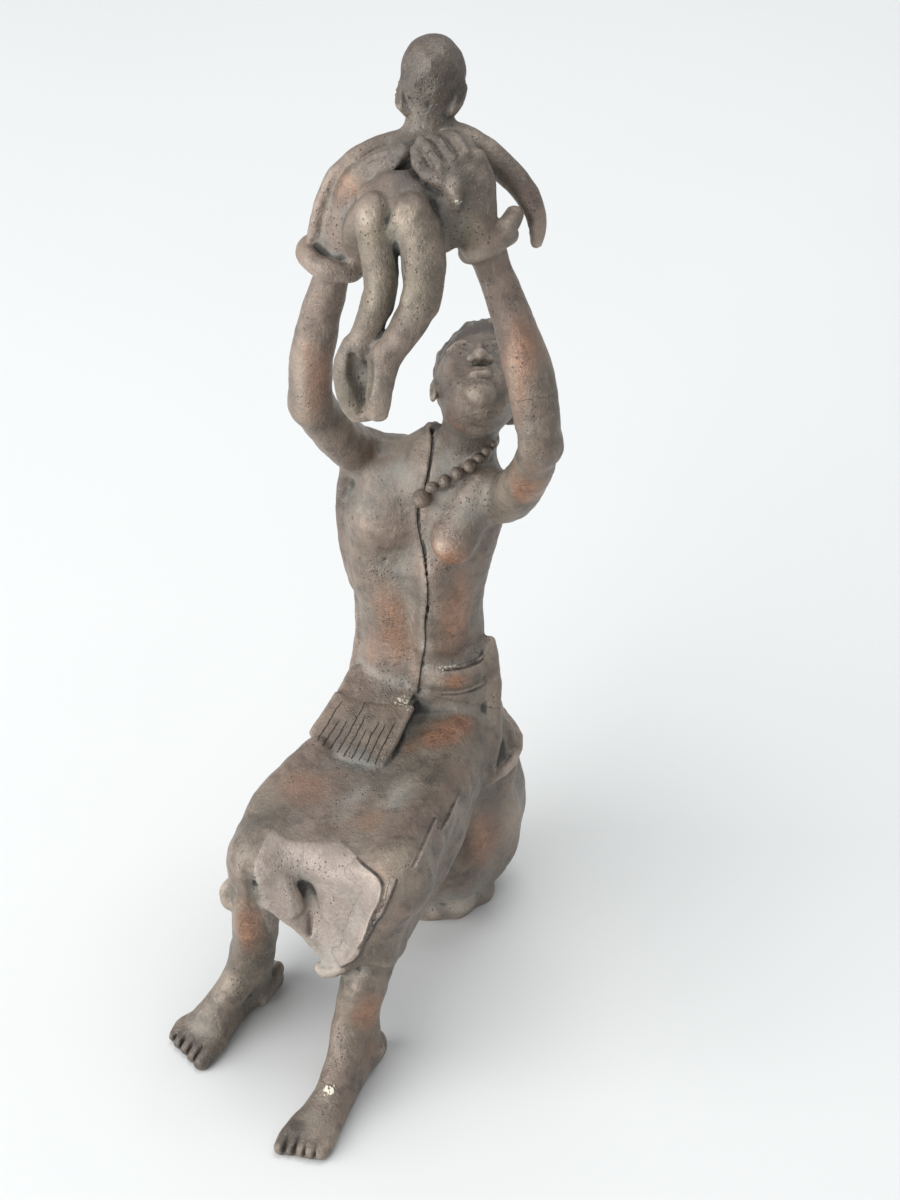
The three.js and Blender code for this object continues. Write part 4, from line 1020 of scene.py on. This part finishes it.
OLIVE = [
    ([5, -55, 388], [18, 14, 14], 0.8), ([2, -60, 362], [22, 18, 26], 0.8),
    ([20, -58, 366], [12, 14, 22], 0.9), ([28, -36, 380], [12, 12, 14], 0.9),
    ([-1, -70, 322], [18, 14, 20], 0.5), ([20, -120, 30], [14, 18, 26], 0.6),
    ([26, -28, 14], [20, 24, 14], 0.8), ([14, 6, 386], [26, 26, 16], 0.3),
]
# dark patina, and painted shade where the figure's own shade falls: the throat, the heads, the inner sides
# of the child's legs, the feet
DARK_PATINA_AND_SHADE = [
    ([-53, -152, 4], [26, 22, 18], 1.4), ([12, -175, 5], [12, 22, 18], 1.3),
    ([24, -181, 2], [15, 14, 12], 0.8), ([-52, -136, 12], [22, 24, 22], 0.5),
    ([18, -156, 14], [20, 26, 22], 0.4), ([0, -2, 424], [34, 34, 34], 1.35),
    ([8, -28, 402], [48, 34, 28], 1.1), ([12, 2, 262], [20, 24, 24], 0.9),
    ([12, 0, 280], [26, 26, 26], 0.7), ([40, -8, 395], [18, 26, 30], 0.6),
    ([4, -22, 384], [50, 30, 20], 0.4), ([-12, -60, 122], [34, 26, 12], 0.3),
    ([-2, -70, 330], [16, 20, 30], 0.6), ([5, -62, 350], [34, 30, 50], 0.4),
    ([-22, -20, 384], [20, 20, 26], 0.35), ([30, -20, 388], [14, 20, 22], 0.35),
    ([4, -60, 352], [5, 12, 30], 0.7), ([0, 2, 436], [24, 24, 12], 0.5),
    ([14, 0, 254], [16, 18, 12], 0.6), ([50, -26, 282], [8, 14, 30], 0.4),
    ([-45, -4, 232], [8, 16, 22], 0.4), ([14, 14, 298], [26, 26, 18], 0.5),
    ([10, 26, 276], [24, 22, 22], 0.6), ([44, -8, 368], [7, 9, 12], 0.5),
    ([30, -30, 56], [8, 12, 22], 0.6), ([-36, -20, 385], [10, 14, 26], 0.3),
    ([3, -22, 124], [4, 12, 8], 1.0), ([-43, -3, 214], [9, 14, 40], 0.7),
    ([12, -46, 372], [4, 16, 22], 0.8),
]
# pale worn spots, and painted light and painted highlights: the pot and its foot where the figure shades
# them, the breast, the child's buttocks
POLISH_AND_PAINTED_LIGHT = [
    ([-1, -58, 391], [6, 7, 6], 0.6), ([12, -54, 392], [7, 7, 6], 0.4), ([8, -17, 138], [9, 8, 6], 0.7),
    ([24, -20, 10], [18, 18, 12], 0.8), ([42, -6, 62], [10, 16, 24], 0.6),
    ([24, -36, 398], [5, 5, 9], 0.6), ([-34, -42, 353], [8, 6, 5], 0.4),
    ([31, -33, 371], [9, 7, 5], 0.7), ([18, -63, 366], [4, 6, 14], 0.3),
    ([5, -65, 364], [3, 5, 14], 0.35), ([11, -21, 218], [6, 7, 5], 0.6),
    ([-41, -42, 300], [6, 10, 30], 0.5), ([44, -16, 66], [12, 24, 34], 0.45),
    ([48, -36, 318], [5, 10, 30], 0.5), ([-24, -14, 215], [14, 8, 8], 0.15),
    ([-46, -120, 92], [8, 8, 14], 0.5),
]
CREAM = [
    ([-5, -24, 129], [11, 7, 4], 0.8), ([-32, -18, 130], [5, 5, 5], 0.7),
    ([-24, -28, 128], [9, 5, 3], 0.4), ([11, -9, 144], [16, 8, 1.4], 0.9),
    ([25, -4, 138], [2, 6, 7], 0.8), ([27, -37, 395], [2.2, 3.4, 2.2], 1.4),
    ([30, -40, 381], [3.4, 5, 2.4], 0.9), ([19, -151, 15], [3.4, 3.4, 3.4], 4.0),
    ([-14, -56, 119], [24, 2, 1.6], 0.5), ([-1, -20, 128], [4, 4, 4], 1.0),
]


coordinates = np.empty(3 * len(casting_mesh.vertices), np.float32)
casting_mesh.vertices.foreach_get("co", coordinates)
spots = coordinates.reshape(-1, 3) / MM
x, y, z = spots.T


def gathered(patches):
    """How strong the strongest of the patches is at each point of the skin"""
    total = np.zeros(len(spots))
    for centre, reach, strength in patches:
        total = np.maximum(total, strength * near_spot(spots, centre, reach))
    return total


for name, patches in (
    ("rub", RUBS), ("olive", OLIVE), ("dark", DARK_PATINA_AND_SHADE), ("polish", POLISH_AND_PAINTED_LIGHT), ("cream", CREAM),
):
    keep(name, gathered(patches))
near_share, far_share = read_grid(close_by, spots), read_grid(further, spots)
keep("hollow", (near_share - 0.52) * 4.5 + (far_share - 0.5) * 2.2)
# painted highlight: how far the skin stands out, which the finish lightens
keep("crest", (0.47 - near_share) * 5)
keep("dust", np.maximum((far_share - 0.46) * 3, gathered(DUSTY)))
keep("hair", hair_share(spots))

# how far each point lies to the right of the sash's seam and of the nearest cut edge of the cloth,
# told as a distance in millimetres round 0.5
SEAM_SPAN, EDGE_SPAN = 10, 20  # what a whole unit of each stands for
seam_side, seam_along = beside(spots, smooth_path(SEAM, 60))
seam_side[(y > 14) | (seam_along <= 0) | (seam_along >= 1)] = SEAM_SPAN / 2
keep("seam", 0.5 + seam_side / SEAM_SPAN)
BAND_EDGES = [
    round_waist(*edge, np.linspace(0.42, 1.5, 6)) for edge in ((144.2, 26, 20), (131, 28, 22))
]
edge_side = np.full(len(spots), 9.0)
for line in (PANEL_EDGE, UNDER_EDGE, *FOLDS, *BAND_EDGES):
    path = smooth_path(line, 40)
    side, along = beside(spots, path)
    near = (along > 0.04) & (along < 0.96) & (before_or_behind(spots, path, along) < 8)
    near &= np.abs(side) < np.abs(edge_side)
    edge_side[near] = side[near]
keep("edges", 0.5 + edge_side / EDGE_SPAN)

# the light front panel: left of its edge and below the lap, told in the same way
inside = -beside(spots, smooth_path(PANEL_EDGE, 40))[0]
above = beside(spots, smooth_path([[-50, -96, 112], *LAP_EDGE, [22, -113, 118]], 40))[0]
in_front = np.minimum.reduce([-95 - y, z - 52, x + 25])
keep("panel", 0.5 + np.minimum.reduce([inside, 0.12 * above, 0.4 * in_front]) / EDGE_SPAN)

# the fringe's cuts: how far across the flap and how far along it each point lies
flap_left, flap_right, flap_top, flap_end = (
    beside(spots, np.array(line, float))[0] for line in (
        [FRINGE_END[0], FRINGE_TOP[0]], [FRINGE_END[-1], FRINGE_TOP[-1]],
        [FRINGE_TOP[0], FRINGE_TOP[-1]], FRINGE_END,
    )
)
on_flap = (y < -26) & (y > -62) & (z > 114) & (np.abs(x + 20) < 26)
on_flap &= (flap_left > 0.6) & (flap_right < -0.6)
across_flap = flap_left / np.maximum(flap_left - flap_right, 1)
along_flap = flap_top / np.maximum(flap_top - flap_end, 1)
keep("across", np.where(on_flap, across_flap, 0))
keep("along", np.where(on_flap, 0.2 + 0.7 * along_flap, 0))


# The bronze's finish: a dull mauve-brown patina, copper where it is rubbed, grey-green dust in
# the hollows, olive on the child and near black in the cracks. Shade is painted into the hollows
# and under the cloth's edges, and highlights onto the crests and the cloth's edges.
class Link:
    """A socket of a tree of nodes, which plain Python sums turn into Math nodes"""

    def __init__(self, tree, socket):
        self.tree, self.socket = tree, socket

    def combine(self, operation, *others, clamp=False):
        settings = {"operation": operation, "use_clamp": clamp}
        values = dict(enumerate((self, *others)))
        return self.tree.node("ShaderNodeMath", settings, values)[0]

    def __add__(self, other):
        return self.combine("ADD", other)

    __radd__ = __add__

    def __sub__(self, other):
        return self.combine("SUBTRACT", other)

    def __rsub__(self, other):
        return (self * -1) + other

    def __mul__(self, other):
        return self.combine("MULTIPLY", other)

    __rmul__ = __mul__

    def held(self):
        """The same, kept between 0 and 1"""
        return self.combine("ADD", 0, clamp=True)


class Tree:
    """A tree of nodes, each made by one method from its type, settings and values"""

    def __init__(self, nodes):
        self.tree = nodes
        self.tree.nodes.clear()

    def node(self, kind, settings=None, values=None):
        node = self.tree.nodes.new(kind)
        for name, value in (settings or {}).items():
            setattr(node, name, value)
        for key, value in (values or {}).items():
            if isinstance(value, Link):
                self.tree.links.new(value.socket, node.inputs[key])
            else:
                node.inputs[key].default_value = value
        return [Link(self, socket) for socket in node.outputs]


class Finish(Tree):
    """A material, whose patterns lie in the object's own coordinates unless told otherwise"""

    def __init__(self, name):
        self.material = bpy.data.materials.new(name)
        self.material.use_nodes = True
        super().__init__(self.material.node_tree)
        self.place = self.node("ShaderNodeTexCoord")[3]

    def attribute(self, name):
        """The value from 0 to 1 that was kept with each vertex"""
        return self.node("ShaderNodeAttribute", {"attribute_name": name})[2]

    def blend(self, share, first, second):
        """One colour turning into another; index 6 and 7 are the colour sockets"""
        settings = {"data_type": "RGBA", "clamp_factor": True}
        first = first if isinstance(first, Link) else (*first, 1)
        second = second if isinstance(second, Link) else (*second, 1)
        return self.node("ShaderNodeMix", settings, {0: share, 6: first, 7: second})[2]

    def scaled(self, colour, factor):
        """A colour made lighter or darker"""
        return self.node("ShaderNodeVectorMath", {"operation": "SCALE"}, {0: colour, 3: factor})[0]

    def noise(self, scale, detail=4.0, roughness=0.6, place=None):
        """Clouds of chance between 0 and 1, `scale` of them in a metre"""
        values = {"Vector": place or self.place, "Scale": scale, "Detail": detail, "Roughness": roughness}
        return self.node("ShaderNodeTexNoise", {}, values)[0]

    def stretch(self, value, low, high):
        """0 below `low`, 1 above `high`, and smooth between"""
        settings = {"interpolation_type": "SMOOTHSTEP"}
        values = {"Value": value, "From Min": low, "From Max": high}
        return self.node("ShaderNodeMapRange", settings, values)[0]

    def laid_on(self, values):
        """The material, its surface made with these values"""
        surface = self.node("ShaderNodeBsdfPrincipled", {}, values)[0]
        self.node("ShaderNodeOutputMaterial", {}, {"Surface": surface})
        return self.material


def colour(red, green, blue):
    """The light that a colour of 0 to 255 gives back"""
    return tuple(
        ((value / 255 + 0.055) / 1.055) ** 2.4 if value > 10 else value / 3294
        for value in (red, green, blue)
    )


def patina(finish, clouds, mottle, strokes):
    """The dull mauve-brown skin, with pale strokes of the wax worker's tool"""
    skin = finish.blend(finish.stretch(clouds, 0.38, 0.6), colour(93, 85, 74), colour(127, 115, 102))
    broad = finish.stretch(finish.noise(16, 3.0), 0.42, 0.62)
    skin = finish.blend(broad * 0.6, skin, colour(124, 104, 93))
    skin = finish.blend(finish.stretch(mottle, 0.46, 0.66) * 0.7, skin, colour(78, 70, 64))
    return finish.blend(finish.stretch(strokes, 0.54, 0.7) * 0.4, skin, colour(146, 136, 125))


def wear(finish, clouds, mottle, patchy, skin, rough, metal):
    """The casting's wear, where its vertices say: copper rubs, dust, dark patches that are partly painted
    shade, pale spots that are partly painted light, a painted highlight on the crests, dirt and painted
    shade in the hollows, and crumbs
    """
    rub, hollow, crest, olive, dark, cream, dust, panel, hair, polish = (
        finish.attribute(name) for name in (
            "rub", "hollow", "crest", "olive", "dark", "cream", "dust", "panel", "hair", "polish",
        )
    )
    panel = finish.stretch(panel + mottle * 0.03, 0.505, 0.53)
    skin = finish.blend(panel * (patchy * 0.4 + 0.55), skin, colour(150, 138, 130))
    skin = finish.blend(olive * (patchy * 0.5 + 0.4), skin, colour(122, 112, 90))
    rubbed = finish.stretch(rub + clouds * 0.9 + mottle * 0.3 - 0.6, 0.0, 1.0)
    rubbed = (rubbed * finish.stretch(rub, 0.02, 0.3)).held()
    copper = finish.blend(finish.stretch(mottle, 0.38, 0.62), colour(134, 97, 77), colour(166, 126, 102))
    skin = finish.blend(rubbed * 0.9, skin, copper)
    grey = finish.blend(finish.stretch(clouds, 0.4, 0.6), colour(122, 123, 116), colour(146, 145, 137))
    dusty = (dust * (patchy * 0.6 + 0.5) + hollow * 0.4 - rubbed * 0.8).held()
    skin = finish.blend(dusty * 0.85, skin, grey)
    # dark patina and painted shade, from the dark patches
    skin = finish.blend((dark * (patchy * 0.4 + 0.6)).held() * 0.85, skin, colour(60, 55, 51))
    skin = finish.blend(hair * (mottle * 0.5 + 0.55), skin, colour(66, 61, 57))
    # painted highlight: the crests are lightened where they stand out
    crest = crest * (patchy * 0.6 + 0.4) - dark * 0.6 - rubbed * 0.6
    skin = finish.blend(crest.held(), skin, colour(158, 144, 131))
    # pale worn spots and painted light
    skin = finish.blend(polish * (mottle * 0.6 + 0.4), skin, colour(186, 172, 156))
    # dirt and painted shade: the deeper the hollow, the nearer to black the skin is painted
    deep = finish.stretch(hollow + mottle * 0.2, 0.52, 0.95)
    skin = finish.blend(deep * 0.85, skin, colour(46, 42, 39))
    crumbs = finish.stretch(finish.noise(900, 2.0) + cream * 0.34, 0.72, 0.8)
    crumbs = crumbs * finish.stretch(cream, 0.02, 0.2)
    crumbs = (crumbs + finish.stretch(cream, 0.92, 0.99)).held()
    skin = finish.blend(crumbs, skin, colour(206, 200, 180))
    rough = (rough - polish * 0.1 + dusty * 0.34 + crumbs * 0.3 - rubbed * 0.08).held()
    metal = (metal - dusty * 0.2 - crumbs * 0.5 + rubbed * 0.2).held()
    return skin, rough, metal


def cut_lines_and_painted_edges(finish, clouds, mottle, patchy, skin):
    """The fringe's cuts, the sash's open seam, and a painted highlight on each edge of the cloth with a
    painted shadow under it
    """
    across, along = finish.attribute("across") * 10 + clouds - 0.5, finish.attribute("along")
    number = across.combine("ROUND")
    start = finish.node("ShaderNodeTexWhiteNoise", {"noise_dimensions": "1D"}, {"W": number})[0]
    off = (across - number + mottle * 0.3 - 0.15).combine("ABSOLUTE") - along * 0.05
    cuts_and_edge_shadow = (1 - finish.stretch(off, 0.01, 0.08)) * finish.stretch(along - start * 0.34, 0.18, 0.24)
    cuts_and_edge_shadow = cuts_and_edge_shadow * (1 - finish.stretch(along, 0.885, 0.9))
    edges = finish.attribute("edges") + mottle * 0.04 - 0.52
    # painted highlight along the lit side of each cloth edge
    painted_edge_highlight = finish.stretch(edges, -0.1, -0.03) * (1 - finish.stretch(edges, -0.03, -0.01))
    skin = finish.blend(painted_edge_highlight * 0.5, skin, colour(170, 156, 146))
    # painted shadow: a dark line under each cloth edge
    painted_edge_shadow = 1 - finish.stretch(edges.combine("ABSOLUTE"), 0.008, 0.05)
    seam = (finish.attribute("seam") + mottle * 0.08 - 0.54).combine("ABSOLUTE")
    cuts_and_edge_shadow = (cuts_and_edge_shadow + (1 - finish.stretch(seam, 0.01, 0.05)) + painted_edge_shadow * (patchy * 0.5 + 0.4)).held()
    return finish.blend(cuts_and_edge_shadow * 0.9, skin, colour(46, 42, 39)), cuts_and_edge_shadow


def bronze(name, marked):
    """The patina with its pits and specks, and on the casting also the wear with its painted light and
    shade, the cut lines and the painted light and shade at the cloth's edges
    """
    finish = Finish(name)
    clouds, mottle = finish.noise(45, 5.0), finish.noise(150, 5.0, 0.7)
    grain, speckle = finish.noise(600, 5.0, 0.7), finish.noise(1500, 2.0)
    upright = {0: finish.place, 1: (1, 1, 0.3)}
    upright = finish.node("ShaderNodeVectorMath", {"operation": "MULTIPLY"}, upright)[0]
    strokes = finish.noise(380, 4.0, 0.7, upright)
    skin = patina(finish, clouds, mottle, strokes)
    rough = finish.stretch(grain, 0.3, 0.8) * 0.22 + 0.34
    metal = finish.stretch(clouds, 0.3, 0.7) * 0.12 + 0.2
    relief = mottle * 0.5 + strokes * 0.4 + grain * 0.4 + speckle * 0.12
    if marked:
        patchy = finish.stretch(finish.noise(80, 6.0, 0.7), 0.38, 0.6)
        skin, rough, metal = wear(finish, clouds, mottle, patchy, skin, rough, metal)
        skin, cuts_and_edge_shadow = cut_lines_and_painted_edges(finish, clouds, mottle, patchy, skin)
        relief = relief - cuts_and_edge_shadow * 0.9
    pits = finish.node("ShaderNodeTexVoronoi", {}, {"Vector": finish.place, "Scale": 520.0})[0]
    pits = (1 - finish.stretch(pits, 0.08, 0.3)) * finish.stretch(finish.noise(70, 3.0), 0.5, 0.6)
    skin = finish.blend(pits * 0.5, skin, colour(58, 52, 48))
    skin = finish.blend(finish.stretch(speckle, 0.6, 0.74) * 0.42, skin, colour(168, 163, 155))
    bump = {"Strength": 0.8, "Distance": 0.0011, "Height": relief - pits * 0.5}
    return finish.laid_on({
        "Base Color": finish.scaled(skin, grain * 0.8 + 0.6), "Roughness": rough, "Metallic": metal,
        "Normal": finish.node("ShaderNodeBump", {}, bump)[0],
    })


casting.data.materials.append(bronze("bronze patina", marked=True))
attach(casting, "root")
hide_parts("mother_and_child")


# The beads: round lumps of bronze strung along the cast cord, each a little different in size,
# with the big one at the sash's edge and rough small ones at her neck.
BEADS = [  # place and radius in millimetres
    (-1.6, -11.4, 233.6, 4.4), (4, -12.4, 241.8, 2.6), (9, -10.6, 245, 2.9), (13, -7.2, 248, 3),
    (16.8, -3, 250.4, 2.7), (19, 1, 252.4, 2.4), (20.8, 5, 254, 2.3), (21.6, 9.4, 255, 2.1),
    (20.6, 14, 255, 2), (18.4, 18, 254, 1.9),
]
BEAD_UNEVENNESS = 0.1  # how far a bead's size strays, as a share
BEAD_SEED = 5


def bead_tree(finish):
    """A bead at every place of a line, as wide as the place's own girth says"""
    group = bpy.data.node_groups.new("bead string", "GeometryNodeTree")
    group.interface.new_socket("Places", in_out="INPUT", socket_type="NodeSocketGeometry")
    for name, kind, value in (
        ("Uneven", "NodeSocketFloat", BEAD_UNEVENNESS), ("Seed", "NodeSocketInt", BEAD_SEED),
    ):
        group.interface.new_socket(name, in_out="INPUT", socket_type=kind).default_value = value
    group.interface.new_socket("Beads", in_out="OUTPUT", socket_type="NodeSocketGeometry")
    tree = Tree(group)
    places, uneven, seed = tree.node("NodeGroupInput")[:3]
    ball = tree.node("GeometryNodeMeshIcoSphere", {}, {"Radius": 1.0, "Subdivisions": 4})[0]
    girth = tree.node("GeometryNodeInputNamedAttribute", {"data_type": "FLOAT"}, {"Name": "girth"})[0]
    stray = tree.node("FunctionNodeRandomValue", {"data_type": "FLOAT_VECTOR"}, {
        0: 1 - uneven, 1: 1 + uneven, "Seed": seed,
    })[0]
    size = tree.node("ShaderNodeVectorMath", {"operation": "SCALE"}, {0: stray, 3: girth})[0]
    beads = tree.node("GeometryNodeInstanceOnPoints", {}, {
        "Points": places, "Instance": ball, "Scale": size,
    })[0]
    beads = tree.node("GeometryNodeRealizeInstances", {}, {"Geometry": beads})[0]
    beads = tree.node("GeometryNodeSetShadeSmooth", {}, {"Geometry": beads})[0]
    beads = tree.node("GeometryNodeSetMaterial", {}, {"Geometry": beads, "Material": finish})[0]
    tree.node("NodeGroupOutput", {}, {0: beads})
    return group


bead_places = bpy.data.meshes.new("bead_string")
bead_places.from_pydata([(x * MM, y * MM, z * MM) for x, y, z, _ in BEADS], [], [])
girths = bead_places.attributes.new("girth", "FLOAT", "POINT")
girths.data.foreach_set("value", [radius * MM for _, _, _, radius in BEADS])
beads = bpy.data.objects.new("bead_string", bead_places)
bpy.context.scene.collection.objects.link(beads)
bead_finish = bronze("bead bronze", marked=False)
string = beads.modifiers.new("string", "NODES")
string.node_group = bead_tree(bead_finish)
sockets = string.node_group.interface.items_tree
inputs = {item.name: item.identifier for item in sockets if item.in_out == "INPUT"}
string[inputs["Seed"]] = BEAD_SEED
as_plain_mesh(beads)
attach(beads, "root")
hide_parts("mother_and_child")


# The floor and the light: a plain pale sheet that the figure stands on, in the soft light of a
# white tent with one window beside the camera.
def plain_floor():
    finish = Finish("white floor")
    white = finish.blend(finish.noise(3, 2.0), colour(206, 208, 207), colour(211, 212, 211))
    return finish.laid_on({"Base Color": white, "Roughness": 0.6})


FLOOR_HALF = 3.0  # metres
floor_corners = [(-1, -1), (1, -1), (1, 1), (-1, 1)]
floor_mesh = bpy.data.meshes.new("floor")
floor_mesh.from_pydata([(x * FLOOR_HALF, y * FLOOR_HALF, 0) for x, y in floor_corners], [], [(0, 1, 2, 3)])
floor = bpy.data.objects.new("floor", floor_mesh)
floor_mesh.materials.append(plain_floor())
bpy.context.scene.collection.objects.link(floor)


def lamp(name, place, target, size, power):
    """A large soft light at a place in metres, turned towards its target"""
    data = bpy.data.lights.new(name, "AREA")
    data.shape = "RECTANGLE"
    data.size, data.size_y = size
    data.energy = power
    thing = bpy.data.objects.new(name, data)
    thing.location = place
    thing.rotation_euler = (Vector(target) - Vector(place)).to_track_quat("-Z", "Y").to_euler()
    bpy.context.scene.collection.objects.link(thing)


lamp("window light", (-1.15, -1.7, 0.9), (0, -0.05, 0.24), (2.8, 1.7), 78)
lamp("top light", (-0.3, -0.1, 2.2), (0, 0, 0.1), (2.2, 2.2), 6)
lamp("back light", (0.1, 0.7, 2.2), (-0.4, 1.5, 0), (1.2, 1.2), 27)

world = bpy.data.worlds.new("white tent")
world.use_nodes = True
world.node_tree.nodes["Background"].inputs["Color"].default_value = (0.95, 0.97, 1.0, 1)
world.node_tree.nodes["Background"].inputs["Strength"].default_value = 0.6
bpy.context.scene.world = world
bpy.context.scene.view_settings.view_transform = "Standard"
